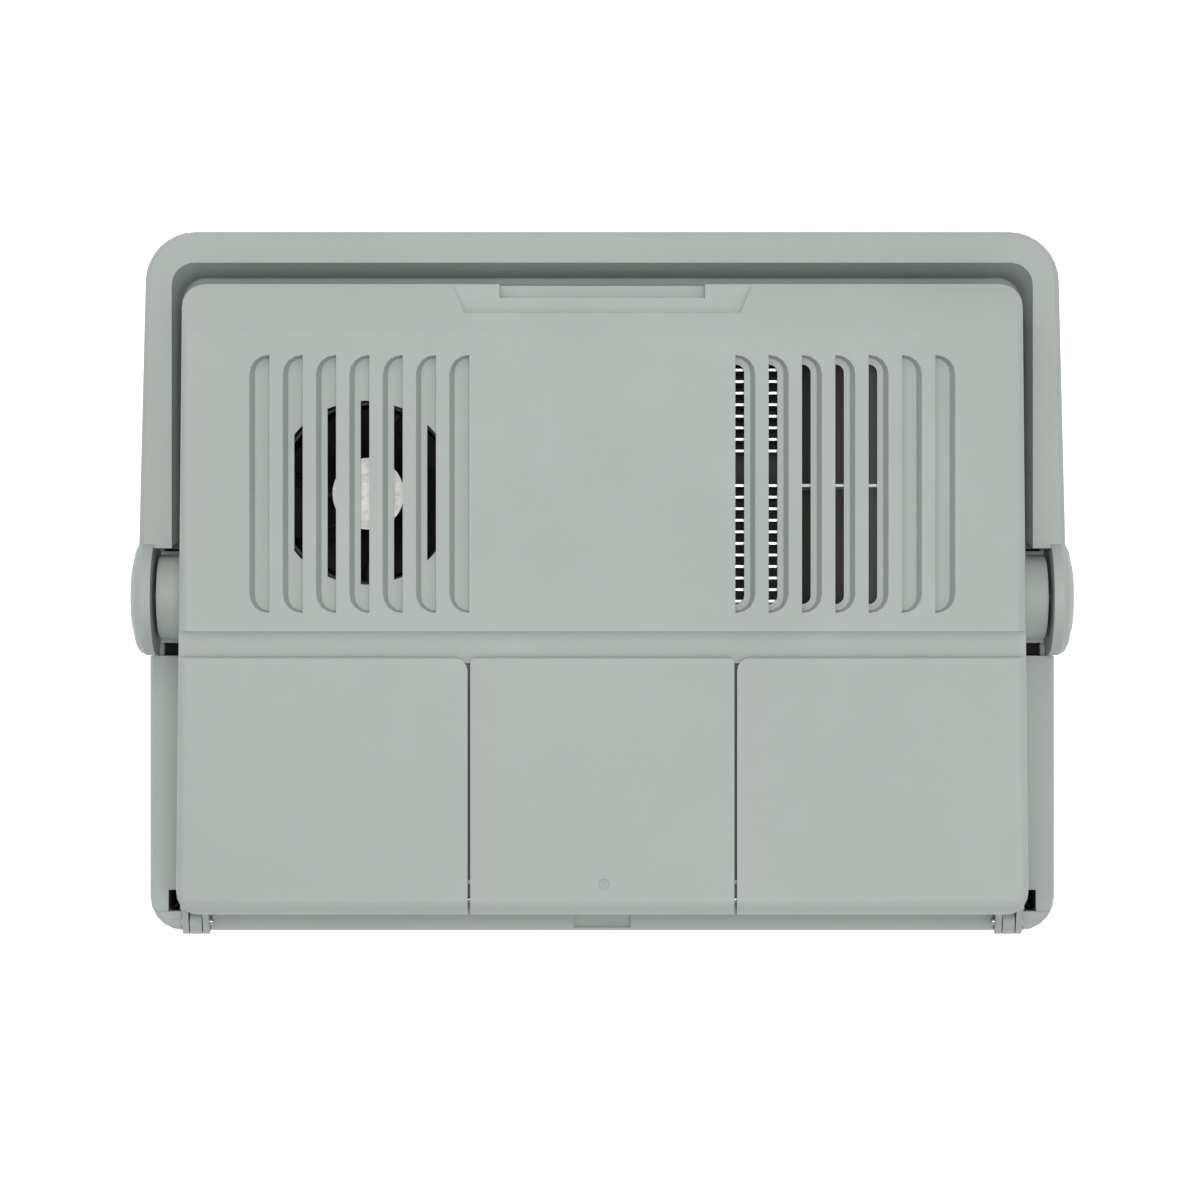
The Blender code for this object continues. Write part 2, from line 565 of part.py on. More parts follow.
def hinge_lugs(side):
    """Two ears behind the lid's rear corner, joined by the web that fixes them to the lid."""
    pieces = [block("web", mirrored(side, (LUG_INNER[0] - 0.002, LUG_OUTER[1])), (LID_REAR_Y - 0.0010, LID_REAR_Y + SKIN - 0.0002),
                    (LID_BOTTOM + 0.0005, LID_BOTTOM + 0.0150))]
    for ends in (LUG_INNER, LUG_OUTER):
        arm = [(HINGE_Y, HINGE_Z + LUG_RADIUS), (LID_REAR_Y + 0.002, HINGE_Z + 0.0120),
               (LID_REAR_Y + 0.002, LID_BOTTOM + 0.0005), (HINGE_Y, LID_BOTTOM + 0.0005)]
        pieces.append(prism("arm", arm, side * ends[0], side * ends[1], "X"))
        pieces.append(prism("lug", circle(LUG_RADIUS, (HINGE_Y, HINGE_Z), 24),
                            side * ends[0], side * ends[1], "X"))
    return pieces


def door_ears():
    """Brackets behind the compartments that hold the doors' hinge rod."""
    places = (DOOR_SPLIT_X - 0.0114, DOOR_SPLIT_X + 0.0106, LID_HALF_X - 0.0122)
    return [block("ear", (x - 0.0015, x + 0.0015), (ROD_Y - 0.0028, TROUGH_Y + 0.001), (ROD_Z - 0.0030, ROD_Z + 0.0028))
            for place in places for x in (-place, place)]


def rod_way():
    return prism("rod_way", circle(ROD_RADIUS + GAP, (ROD_Y, ROD_Z), 12), -BEYOND, BEYOND, "X")


def lid_cover():
    cover = lid_form("lid_cover", 0.0, LID_BOTTOM, LID_TOP, LID_EDGE)
    above, below = LID_TOP + 0.02, LID_BOTTOM - 0.01
    everywhere = (-BEYOND, BEYOND)
    step = block("step", everywhere, (-BEYOND, DOOR_FRONT_Y), (TROUGH_Z, above))
    groove = block("groove", everywhere, (DOOR_FRONT_Y - 0.001, GROOVE_FRONT_Y), (GROOVE_Z, above))
    cut(cover, step, groove)
    deck_half, deck_y = LID_HALF_X - 0.0040, (TROUGH_Y, DOOR_FRONT_Y + 0.001)
    deck = block("deck", (-deck_half, deck_half), deck_y, (TROUGH_Z - 0.001, DECK_Z))
    ledge_half = LID_HALF_X - 0.0002
    ledge = prism("ledge", narrowed([(-ledge_half, deck_y[0]), (ledge_half, deck_y[0]), (ledge_half, deck_y[1]),
                                     (-ledge_half, deck_y[1])]), TROUGH_Z - 0.001, LEDGE_Z)
    join(cover, ledge, deck)
    cut(cover, block("trim", everywhere, (DOOR_FRONT_Y - 0.002, DOOR_FRONT_Y + 0.002), (GROOVE_Z, above)))
    front_room = lid_form("front_room", SKIN, below, LID_TOP - SKIN, 0.002, GROOVE_FRONT_Y)
    room_half, room_y = LID_HALF_X - SKIN - 0.0002, (LID_REAR_Y + SKIN, GROOVE_FRONT_Y + 0.01)
    under_groove = prism("under_groove", narrowed([(-room_half, room_y[0]), (room_half, room_y[0]),
                                                   (room_half, room_y[1]), (-room_half, room_y[1])]),
                         below, TROUGH_Z - SKIN)
    tray_way = block("tray_way", (-TRAY_HALF_X - GAP, TRAY_HALF_X + GAP), (TRAY_REAR_Y - GAP, TRAY_FRONT_Y + GAP),
                     (TROUGH_Z - 0.02, above))
    cut(cover, front_room, under_groove, tray_way)
    grille_x = (SLOT_FIRST_X - 0.0040, SLOT_LAST_X + SLOT_WIDTH + 0.0030)
    for side in (-1, 1):
        grille = block("grille", mirrored(side, grille_x), (SLOT_REAR_Y - 0.003, SLOT_FRONT_Y + 0.003),
                       (GRILLE_BOTTOM, LID_TOP - SKIN / 2))
        join(cover, grille, *hinge_lugs(side))
        cut(cover, *[slot(side, index) for index in range(SLOT_COUNT)])
        cut(cover, *[slot_hole(side, index) for index in OPEN_SLOTS[side]])
        cut(cover, hinge_hole(side))
    join(cover, *door_ears())
    cut(cover, rod_way())
    grip(cover)
    hinged(cover, (0.0, HINGE_Y, HINGE_Z))


def grip(cover):
    """Finger grip in the lid's front edge: a wide shallow scoop with a deeper slot in it."""
    top, front = LID_TOP, LID_FRONT_Y
    pad = [(GRIP_BACK_Y - 0.003, FINGER_FLOOR - 0.003), (front - 0.001, FINGER_FLOOR - 0.003),
           (front - 0.001, top - SLOPE_DROP - 0.006), (front - 0.007, top - SLOPE_DROP - 0.001),
           (GRIP_BACK_Y - 0.003, top - 0.003)]
    join(cover, prism("pad", pad, -GRIP_HALF_X - 0.003, GRIP_HALF_X + 0.003, "X"))
    scoop = [(-GRIP_HALF_X, front + 0.01), (-GRIP_HALF_X, front - 0.002), (-GRIP_HALF_X + GRIP_TAPER, GRIP_BACK_Y),
             (GRIP_HALF_X - GRIP_TAPER, GRIP_BACK_Y), (GRIP_HALF_X, front - 0.002), (GRIP_HALF_X, front + 0.01)]
    finger = block("finger", (-FINGER_HALF_X, FINGER_HALF_X), (FINGER_BACK_Y, front + 0.01), (FINGER_FLOOR, top + 0.01))
    cut(cover, prism("scoop", scoop, GRIP_FLOOR, top + 0.01), finger)


def lid_base():
    """Underside of the lid: a flange and a plug that fills the box's mouth, with a hole for the cooler."""
    inset = SKIN + 0.0005
    half, corner = LID_HALF_X - inset, LID_CORNER - inset + 0.0003
    flange = narrowed(outline(-half, half, LID_REAR_Y + inset, LID_FRONT_Y - inset, corner))
    plug = centred(PLUG_HALF_X, PLUG_HALF_Y, 0.010)
    plug_foot = centred(PLUG_HALF_X - 0.002, PLUG_HALF_Y - 0.002, 0.008)
    room = centred(PLUG_HALF_X - SKIN, PLUG_HALF_Y - SKIN, 0.008)
    rows = ((plug_foot, PLUG_BOTTOM), (plug, PLUG_BOTTOM + 0.002), (plug, FLANGE_Z), (flange, FLANGE_Z),
            (flange, FLANGE_Z + SKIN), (room, FLANGE_Z + SKIN), (room, PLUG_BOTTOM + SKIN))
    loops = [[(x, y, z) for x, y in shape] for shape, z in rows]
    base = solid("lid_base", loops, "liner_plastic")
    cut(base, cooler_way(PLUG_BOTTOM - 0.01, FLANGE_Z + 0.01))
    hinged(base, (0.0, HINGE_Y, HINGE_Z))


def cooler_way(low, high):
    half = MODULE_SIZE / 2 + 0.0015
    return prism("cooler_way", centred(half, half, 0.001, (COOLER_X, COOLER_Y), 2), low, high)


def lid_foam():
    inset = SKIN + GAP
    foam = prism("lid_foam", centred(PLUG_HALF_X - inset, PLUG_HALF_Y - inset, 0.007),
                 PLUG_BOTTOM + inset, FOAM_TOP, "Z", "foam")
    cut(foam, cooler_way(PLUG_BOTTOM, FOAM_TOP + 0.01))
    hinged(foam, (0.0, HINGE_Y, HINGE_Z))


def lid_seal():
    outer = centred(PLUG_HALF_X + 0.0095, PLUG_HALF_Y + 0.0095, 0.012)
    inner = centred(PLUG_HALF_X + 0.0050, PLUG_HALF_Y + 0.0050, 0.010)
    low, high = RIM_TOP + GAP, FLANGE_Z - GAP
    loops = [[(x, y, z) for x, y in shape] for shape, z in ((outer, low), (outer, high), (inner, high), (inner, low))]
    hinged(solid("lid_seal", loops, "rubber", ring=True), (0.0, HINGE_Y, HINGE_Z))


# ---- compartments --------------------------------------------------------------------------
def compartment_tray():
    """Insert with a deep bin at each side and a shallow one between them for the sockets."""
    floor = FOAM_TOP + GAP
    tray = block("compartment_tray", (-TRAY_HALF_X, TRAY_HALF_X), (TRAY_REAR_Y, TRAY_FRONT_Y),
                 (floor, DECK_Z - 0.0002), "dark_plastic")
    y = (TRAY_REAR_Y + TRAY_WALL, TRAY_FRONT_Y - TRAY_WALL)
    half_wall = TRAY_WALL / 2
    for side in (-1, 1):
        x = mirrored(side, (DOOR_SPLIT_X + half_wall, TRAY_HALF_X - TRAY_WALL))
        cut(tray, block("bin", x, y, (floor + TRAY_WALL, LID_TOP)))
    inner = DOOR_SPLIT_X - half_wall
    post_x = DOOR_SPLIT_X - 0.0094
    cut(tray, block("top_bin", (-inner, inner), y, (PANEL_Z, LID_TOP)))
    cut(tray, block("works", (-inner, inner), y, (floor - 0.01, PANEL_Z - TRAY_WALL)))
    for x in (-post_x, post_x):
        for post_y in (y[0] + 0.008, y[1] - 0.008):
            join(tray, prism("post", circle(0.003, (x, post_y), 12), BOARD_Z + GAP, PANEL_Z - TRAY_WALL / 2))
    for piece in panel_ways():
        cut(tray, piece)
    hinged(tray, (0.0, HINGE_Y, HINGE_Z))


def panel_ways():
    low, high = PANEL_Z - 0.01, PANEL_Z + 0.005
    return [
        prism("mains", centred(0.0100, 0.0060, 0.004, MAINS_AT, 3), low, high),
        prism("socket", circle(0.0085, SOCKET_AT, 24), low, high),
        block("switch", (SWITCH_AT[0] - 0.0035, SWITCH_AT[0] + 0.0035),
              (SWITCH_AT[1] - 0.0045 - SWITCH_TRAVEL, SWITCH_AT[1] + 0.0045 + SWITCH_TRAVEL), (low, high)),
        prism("lamp", circle(0.0022, LAMP_AT, 16), low, high),
    ]


def inlets():
    """Mains inlet and 12 V socket, each a flange on the panel with its body below."""
    flange = (PANEL_Z + GAP, PANEL_Z + 0.0020)
    depth = PANEL_Z - 0.0140
    mains = prism("mains_inlet", centred(0.0135, 0.0085, 0.0030, MAINS_AT, 3), *flange, "Z", "dark_plastic")
    join(mains, prism("body", centred(0.0097, 0.0057, 0.0037, MAINS_AT, 3), depth, flange[1] - 0.0005))
    cut(mains, prism("mouth", centred(0.0080, 0.0042, 0.0035, MAINS_AT, 3), depth + 0.002, flange[1] + 0.01))
    socket = prism("dc_inlet", circle(0.0110, SOCKET_AT, 32), *flange, "Z", "dark_plastic")
    join(socket, prism("body", circle(0.0082, SOCKET_AT, 24), depth, flange[1] - 0.0005))
    cut(socket, prism("mouth", circle(0.0066, SOCKET_AT, 24), depth + 0.002, flange[1] + 0.01))
    lamp = prism("indicator_lens", circle(0.0030, LAMP_AT, 24), PANEL_Z + GAP, PANEL_Z + 0.0014, "Z", "lamp_lens")
    join(lamp, prism("stem", circle(0.0019, LAMP_AT, 16), PANEL_Z - 0.006, PANEL_Z + 0.0010))
    for piece in (mains, socket, lamp):
        hinged(piece, (0.0, HINGE_Y, HINGE_Z))


def mode_switch():
    """Slide switch: off in the middle, warm at one end and cold at the other."""
    x, y = SWITCH_AT
    knob = prism("mode_switch", outline(x - 0.0032, x + 0.0032, y - 0.0042, y + 0.0042, 0.001, 2),
                 PANEL_Z - 0.0050, PANEL_Z + 0.0042, "Z", "dark_plastic")
    low_plate = block("plate", (x - 0.0060, x + 0.0060), (y - 0.0060, y + 0.0060),
                      (PANEL_Z - 0.0070, PANEL_Z - TRAY_WALL - GAP))
    join(knob, low_plate)
    hinged(knob, (x, y, PANEL_Z))


def power_board():
    """Supply board under the panel, with its transformer and its smoothing capacitor."""
    board = block("power_board", (-BOARD_HALF_X, BOARD_HALF_X), (BOARD_REAR_Y, BOARD_FRONT_Y),
                  (BOARD_Z - BOARD_THICKNESS, BOARD_Z), "circuit_board")
    top = BOARD_Z + GAP
    rear = BOARD_REAR_Y
    coil = block("transformer", (-0.040, -0.012), (rear + 0.0114, rear + 0.0334), (top, top + 0.0045), "component")
    join(coil, block("core", (-0.034, -0.018), (rear + 0.0084, rear + 0.0364), (top, top + 0.0040)))
    smoother = prism("capacitor", circle(0.0060, (0.014, rear + 0.0174), 24), top, top + 0.0120, "Z", "component")
    for piece in (board, coil, smoother):
        hinged(piece, (0.0, HINGE_Y, HINGE_Z))


def doors():
    """Three covers that hinge on one rod along the lid's rear edge."""
    inner_round = DOOR_REAR_ROUND - DOOR_THICKNESS
    lip_z = ROD_Z - DOOR_LIP
    profile = [(DOOR_FRONT_Y, LID_TOP - DOOR_THICKNESS), (DOOR_FRONT_Y, LID_TOP - 0.0015)]
    profile += arc((DOOR_FRONT_Y - 0.0015, LID_TOP - 0.0015), 0.0015, 30, 90, 2)
    profile += arc((ROD_Y, ROD_Z), DOOR_REAR_ROUND, 90, 180, 6)
    profile += [(LID_REAR_Y, lip_z), (LID_REAR_Y + DOOR_THICKNESS, lip_z)]
    profile += arc((ROD_Y, ROD_Z), inner_round, 180, 90, 6)
    outer_x = (DOOR_SPLIT_X + DOOR_GAP / 2, LID_HALF_X)
    centre_x = DOOR_SPLIT_X - DOOR_GAP / 2
    outer_barrels = (DOOR_SPLIT_X + 0.0171, LID_HALF_X - 0.0187)
    centre_barrel = DOOR_SPLIT_X - 0.0179
    plans = (
        ("door_left", -1, mirrored(-1, outer_x), (DOOR_CORNER_OUTER, 0, 0, 0), mirrored(-1, outer_barrels)),
        ("door_centre", 0, (-centre_x, centre_x), (DOOR_CORNER_CENTRE, DOOR_CORNER_CENTRE, 0, 0),
         (-centre_barrel, centre_barrel)),
        ("door_right", 1, outer_x, (0, DOOR_CORNER_OUTER, 0, 0), outer_barrels),
    )
    for name, side, (low, high), radii, barrels in plans:
        door = prism(name, profile, low, high, "X")
        if side:
            join(door, block("side", mirrored(side, (LID_HALF_X - 0.0036, LID_HALF_X)), (LID_REAR_Y, DOOR_FRONT_Y),
                             (lip_z, LID_TOP - 0.001)))
        keep(door, prism("plan", outline(low, high, LID_REAR_Y, DOOR_FRONT_Y, radii, 4), TROUGH_Z, LID_TOP + 0.01))
        keep(door, lid_form("form", 0.0, LID_BOTTOM, LID_TOP, LID_EDGE))
        for x in barrels:
            ends = (x - 0.0040, x + 0.0040)
            join(door, prism("barrel", circle(BARREL_RADIUS, (ROD_Y, ROD_Z), 20), *ends, "X"))
            join(door, block("web", ends, (ROD_Y - 0.0012, ROD_Y + 0.0012), (ROD_Z, LID_TOP - 0.0012)))
        cut(door, rod_way())
        hinged(door, (0.0, ROD_Y, ROD_Z))
    rod_half = LID_HALF_X - 0.0102
    rod = prism("door_hinge_rod", circle(ROD_RADIUS, (ROD_Y, ROD_Z), 12), -rod_half, rod_half, "X", "steel")
    hinged(rod, (0.0, HINGE_Y, HINGE_Z))


# ---- cooling unit --------------------------------------------------------------------------
def air_duct():
    """Cover over fan and fins: a plate under both grilles, with walls that carry the air along the fins."""
    low, top = FOAM_TOP + GAP, DUCT_TOP
    left = FAN_X - FAN_SIZE / 2 - 0.003
    half_y = max(FIN_ROWS * FIN_PITCH, FAN_SIZE + 2 * abs(FAN_Y - COOLER_Y)) / 2 + 0.003
    inner_y = (COOLER_Y - half_y, COOLER_Y + half_y)
    outer_y = (inner_y[0] - DUCT_WALL, inner_y[1] + DUCT_WALL)
    duct = block("air_duct", (-DUCT_HALF_X, DUCT_HALF_X), outer_y, (top - DUCT_PLATE, top), "dark_plastic")
    join(duct, block("walls", (left - DUCT_WALL, DUCT_RIGHT + DUCT_WALL), outer_y, (low, top - DUCT_PLATE / 2)))
    cut(duct, block("room", (left, DUCT_RIGHT), inner_y, (low - 0.01, top - DUCT_PLATE)))
    cut(duct, prism("fan_hole", circle(FAN_HOLE, (FAN_X, FAN_Y), 40), top - 0.01, top + 0.01))
    cut(duct, block("outlet", (SLOT_FIRST_X - 0.006, DUCT_RIGHT - 0.001), (SLOT_REAR_Y + 0.003, SLOT_FRONT_Y - 0.003),
                    (top - 0.01, top + 0.01)))
    collar = prism("collar", circle(FAN_HOLE + DUCT_WALL, (FAN_X, FAN_Y), 40), FAN_TOP + GAP, top - DUCT_PLATE / 2)
    cut(collar, prism("way", circle(FAN_HOLE, (FAN_X, FAN_Y), 40), FAN_TOP - 0.01, top + 0.01))
    near, far = SINK_RIGHT + 0.003, DUCT_RIGHT + DUCT_WALL / 2
    foot = low + 0.0001
    deflector = prism("deflector", [(near, foot), (far, foot), (far, top - 0.006), (far - 0.006, top - 0.007)],
                      inner_y[0] - DUCT_WALL / 2, inner_y[1] + DUCT_WALL / 2, "Y")
    rib = block("rib", (near + 0.001, far), (COOLER_Y - 0.0006, COOLER_Y + 0.0006), (foot, top - 0.0005))
    join(duct, collar, deflector, rib)
    hinged(duct, (0.0, HINGE_Y, HINGE_Z))


def duct_floor():
    """Sheet under the air's path, cut out round the heat sink's base."""
    half_y = FIN_ROWS * FIN_PITCH / 2 + 0.0025
    low, clear = FOAM_TOP + GAP, 0.0005
    sheet = block("duct_floor", (FAN_X - FAN_SIZE / 2 - 0.0025, SINK_RIGHT + 0.0025), (COOLER_Y - half_y, COOLER_Y + half_y),
                  (low, low + 0.0010), "dark_plastic")
    sink_half = FIN_ROWS * FIN_PITCH / 2 + clear
    cut(sheet, block("sink_way", (SINK_LEFT - clear, SINK_RIGHT + clear), (COOLER_Y - sink_half, COOLER_Y + sink_half),
                     (low - 0.01, low + 0.01)))
    hinged(sheet, (0.0, HINGE_Y, HINGE_Z))


def fan_frame(name, centre, size, bore, hub, low, high, finish="dark_plastic"):
    """Square fan housing with a round bore and a motor mount on four struts."""
    frame = prism(name, centred(size / 2, size / 2, size / 16, centre), low, high, "Z", finish)
    cut(frame, prism("bore", circle(bore, centre), low - 0.01, high + 0.01))
    strut = size * 0.02
    x, y = centre
    mount = prism("mount", circle(hub, centre, 24), low, low + 0.0030)
    join(frame, mount,
         block("strut", (x - bore - 0.001, x + bore + 0.001), (y - strut, y + strut), (low, low + 0.0024)),
         block("strut", (x - strut, x + strut), (y - bore - 0.001, y + bore + 0.001), (low, low + 0.0024)))
    hole_at = size / 2 * 0.89
    for sign_x in (-1, 1):
        for sign_y in (-1, 1):
            cut(frame, prism("hole", circle(size * 0.027, (x + sign_x * hole_at, y + sign_y * hole_at), 8),
                             low - 0.01, high + 0.01))
    hinged(frame, (0.0, HINGE_Y, HINGE_Z))


def rotor(name, centre, hub, tip, low, high, blades):
    """Fan wheel: a round hub with pitched blades."""
    x, y = centre
    wheel = prism(name, circle(hub, centre, 32), low, high, "Z", "dark_plastic")
    chord = (high - low) * 1.15
    middle = (low + high) / 2
    for blade in range(blades):
        turn = Matrix.Rotation(2 * math.pi * blade / blades, 4, "Z")
        loops = []
        for radius, pitch in ((hub - 0.002, 46), (tip + 0.004, 28)):
            along = Vector((0.0, math.cos(math.radians(pitch)), math.sin(math.radians(pitch))))
            across = Vector((0.0, -along.z, along.y)) * 0.0006
            reach = min(chord / 2, (high - low) * 0.48 / along.z)
            corners = [along * reach + across, -along * reach + across, -along * reach - across, along * reach - across]
            loops.append([turn @ (Vector((radius, 0.0, 0.0)) + c) + Vector((x, y, middle)) for c in corners])
        blade_solid = solid("blade", loops, "dark_plastic")
        join(wheel, keep(blade_solid, prism("sweep", circle(tip, centre, 40), low - 0.01, high + 0.01)))
    hinged(wheel, (x, y, middle))


def fans():
    fan_frame("fan_frame", (FAN_X, FAN_Y), FAN_SIZE, FAN_BORE, FAN_HUB, FAN_LOW, FAN_TOP)
    rotor("fan_rotor", (FAN_X, FAN_Y), FAN_HUB, FAN_BORE - 0.0010, FAN_LOW + 0.0036, FAN_TOP - 0.0010, 7)
    top = PLUG_BOTTOM - GAP - COLD_BASE - COLD_FIN_DROP - GAP
    inner_low = top - INNER_FAN_HEIGHT
    centre, bore = (COOLER_X, COOLER_Y), INNER_FAN_SIZE / 2 - 0.0015
    fan_frame("inner_fan_frame", centre, INNER_FAN_SIZE, bore, INNER_FAN_HUB, inner_low, top)
    rotor("inner_fan_rotor", centre, INNER_FAN_HUB, bore - 0.0008, inner_low + 0.0034, top - 0.0006, 7)


def hot_heatsink():
    """Aluminium fins on a base; two rows are left out for the clamp screws."""
    low = FOAM_TOP + GAP
    base = low + SINK_BASE
    top = DUCT_TOP - DUCT_PLATE - 0.0010
    front = COOLER_Y + FIN_ROWS * FIN_PITCH / 2
    comb = [(front, low), (front, base)]
    for row in range(FIN_ROWS):
        if row in BARE_ROWS:
            continue
        middle = front - (row + 0.5) * FIN_PITCH
        near, far = middle + FIN_THICKNESS / 2, middle - FIN_THICKNESS / 2
        comb += [(near, base), (near, top), (far, top), (far, base)]
    rear = front - FIN_ROWS * FIN_PITCH
    comb += [(rear, base), (rear, low)]
    sink = prism("hot_heatsink", comb, SINK_LEFT, SINK_RIGHT, "X", "aluminium")
    hinged(sink, (0.0, HINGE_Y, HINGE_Z))


def cold_side():
    """Thermoelectric module, the block that carries the cold through the foam, and the cold fins."""
    half = MODULE_SIZE / 2
    x, y = COOLER_X, COOLER_Y
    module_low = FOAM_TOP - MODULE_HEIGHT
    module = block("peltier_module", (x - half, x + half), (y - half, y + half), (module_low, FOAM_TOP), "ceramic")
    cold_top = PLUG_BOTTOM - GAP
    carrier = block("cold_block", (x - half, x + half), (y - half, y + half),
                    (cold_top + GAP, module_low - GAP), "aluminium")
    base = cold_top - COLD_BASE
    edge = y + COLD_FIN_ROWS * COLD_FIN_PITCH / 2
    rear = edge - COLD_FIN_ROWS * COLD_FIN_PITCH
    comb = [(edge, cold_top), (edge, base)]
    for row in range(COLD_FIN_ROWS):
        middle = edge - (row + 0.5) * COLD_FIN_PITCH
        near, far = middle + FIN_THICKNESS / 2, middle - FIN_THICKNESS / 2
        comb += [(near, base), (near, base - COLD_FIN_DROP), (far, base - COLD_FIN_DROP), (far, base)]
    comb += [(rear, base), (rear, cold_top)]
    sink = prism("cold_heatsink", comb, x - COLD_HALF_X, x + COLD_HALF_X, "X", "aluminium")
    for piece in (module, carrier, sink):
        hinged(piece, (0.0, HINGE_Y, HINGE_Z))


def inner_fan_cover():
    """Guard round the cold fins and their fan, on the lid's underside, with slots for the air."""
    x, y = COOLER_X, COOLER_Y
    top = PLUG_BOTTOM - GAP
    wall = 0.0018
    outer = centred(INNER_COVER_HALF_X, INNER_COVER_HALF_Y, 0.010, (x, y))
    low_outer = centred(INNER_COVER_HALF_X - 0.004, INNER_COVER_HALF_Y - 0.004, 0.008, (x, y))
    inner = centred(INNER_COVER_HALF_X - wall, INNER_COVER_HALF_Y - wall, 0.008, (x, y))
    low_inner = centred(INNER_COVER_HALF_X - wall - 0.003, INNER_COVER_HALF_Y - wall - 0.003, 0.007, (x, y))
    rows = ((low_outer, INNER_COVER_BOTTOM), (outer, INNER_COVER_BOTTOM + 0.004), (outer, top),
            (inner, top), (inner, INNER_COVER_BOTTOM + 0.0045), (low_inner, INNER_COVER_BOTTOM + wall))
    cover = solid("inner_fan_cover", [[(u, v, z) for u, v in shape] for shape, z in rows], "liner_plastic")
    slots = [prism("slot", outline(x - 0.027, x + 0.027, y + row * 0.0072 - 0.0020, y + row * 0.0072 + 0.0020, 0.0018, 2),
                   INNER_COVER_BOTTOM - 0.01, INNER_COVER_BOTTOM + 0.01) for row in range(-3, 4)]
    vents = [block("vent", (x + column * 0.012 - 0.003, x + column * 0.012 + 0.003), (y - 0.08, y + 0.08),
                   (top - 0.016, top - 0.004)) for column in range(-4, 5)]
    cut(cover, *slots)
    cut(cover, *vents)
    hinged(cover, (0.0, HINGE_Y, HINGE_Z))


# ---- assembly ------------------------------------------------------------------------------
def build():
    for old in list(bpy.data.objects):
        bpy.data.objects.remove(old)
    outer_shell()
    foam_insulation()
    inner_liner()
    top_rim()
    handle_hub(-1, "handle_hub_left")
    handle_hub(1, "handle_hub_right")
    feet()
    hinge_pins()
    pivot_axles()
    carry_handle()
    handle_caps()
    lid_cover()
    lid_base()
    lid_foam()
    lid_seal()
    compartment_tray()
    inlets()
    mode_switch()
    power_board()
    doors()
    air_duct()
    duct_floor()
    fans()
    hot_heatsink()
    cold_side()
    inner_fan_cover()
    frame = bpy.data.objects.new("cool_box", None)
    bpy.context.scene.collection.objects.link(frame)
    frame.location = (0.0, PIVOT_Y, 0.0)
    for piece in list(bpy.data.objects):
        if piece.type == "MESH":
            piece.parent = frame


build()
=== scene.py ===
import math

import bmesh
import bpy
from mathutils import Matrix, Vector


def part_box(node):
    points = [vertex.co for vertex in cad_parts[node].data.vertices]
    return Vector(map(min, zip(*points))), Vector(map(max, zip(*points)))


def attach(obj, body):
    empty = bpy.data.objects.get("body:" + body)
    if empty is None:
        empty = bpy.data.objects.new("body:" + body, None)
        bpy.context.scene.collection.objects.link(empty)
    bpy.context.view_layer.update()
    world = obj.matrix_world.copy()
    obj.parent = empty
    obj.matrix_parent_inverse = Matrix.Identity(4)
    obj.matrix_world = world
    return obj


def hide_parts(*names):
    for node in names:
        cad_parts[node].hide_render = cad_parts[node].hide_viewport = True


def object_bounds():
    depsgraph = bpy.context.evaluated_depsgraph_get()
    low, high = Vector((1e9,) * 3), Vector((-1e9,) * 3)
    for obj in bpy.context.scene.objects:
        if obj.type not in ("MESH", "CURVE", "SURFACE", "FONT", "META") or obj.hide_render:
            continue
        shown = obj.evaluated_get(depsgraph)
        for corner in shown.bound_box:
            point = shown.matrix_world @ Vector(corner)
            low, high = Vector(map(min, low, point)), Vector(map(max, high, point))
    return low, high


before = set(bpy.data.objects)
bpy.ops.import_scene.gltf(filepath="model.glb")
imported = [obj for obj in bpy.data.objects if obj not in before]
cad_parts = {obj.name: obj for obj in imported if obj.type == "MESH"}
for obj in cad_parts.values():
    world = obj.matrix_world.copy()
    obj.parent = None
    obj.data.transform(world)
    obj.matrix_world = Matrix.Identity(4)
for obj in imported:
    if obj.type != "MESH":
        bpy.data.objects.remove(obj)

cad_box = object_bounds()


# ---- Outer shell ---------------------------------------------------------------------------
# One deep polypropylene box, moulded in a draughted tool so that its walls lean in towards the
# floor. Its faces carry the fine spark-eroded grain of the tool, and its lower edge is scuffed.
class Wire:
    """A node's output that sums can be written with."""

    def __init__(self, bench, socket):
        self.bench = bench
        self.socket = socket

    def maths(self, operation, first, second):
        return self.bench.add("ShaderNodeMath", {"operation": operation}, {0: first, 1: second})

    def __add__(self, other):
        return self.maths("ADD", self, other)

    def __radd__(self, other):
        return self.maths("ADD", other, self)

    def __sub__(self, other):
        return self.maths("SUBTRACT", self, other)

    def __rsub__(self, other):
        return self.maths("SUBTRACT", other, self)

    def __mul__(self, other):
        return self.maths("MULTIPLY", self, other)

    def __rmul__(self, other):
        return self.maths("MULTIPLY", other, self)

    def __truediv__(self, other):
        return self.maths("DIVIDE", self, other)

    def __gt__(self, other):
        return self.maths("GREATER_THAN", self, other)

    def __lt__(self, other):
        return self.maths("LESS_THAN", self, other)

    def part(self, name):
        """One number of a vector: X, Y or Z."""
        split = self.bench.tree.nodes.new("ShaderNodeSeparateXYZ")
        self.bench.tree.links.new(self.socket, split.inputs[0])
        return Wire(self.bench, split.outputs[name])


class Bench:
    """A node tree that is filled one node at a time."""

    def __init__(self, tree):
        self.tree = tree

    def add(self, kind, settings, values, output=0):
        node = self.tree.nodes.new(kind)
        for name, value in settings.items():
            if name == "stops":
                self.fill_ramp(node.color_ramp, value)
            else:
                setattr(node, name, value)
        for key, value in values.items():
            self.feed(node.inputs[key], value)
        return Wire(self, node.outputs[output])

    def feed(self, socket, value):
        if isinstance(value, Wire):
            self.tree.links.new(value.socket, socket)
        else:
            socket.default_value = value

    def fill_ramp(self, ramp, stops):
        while len(ramp.elements) < len(stops):
            ramp.elements.new(0.5)
        for element, (place, shade) in zip(ramp.elements, stops):
            element.position = place
            element.color = (shade, shade, shade, 1.0)


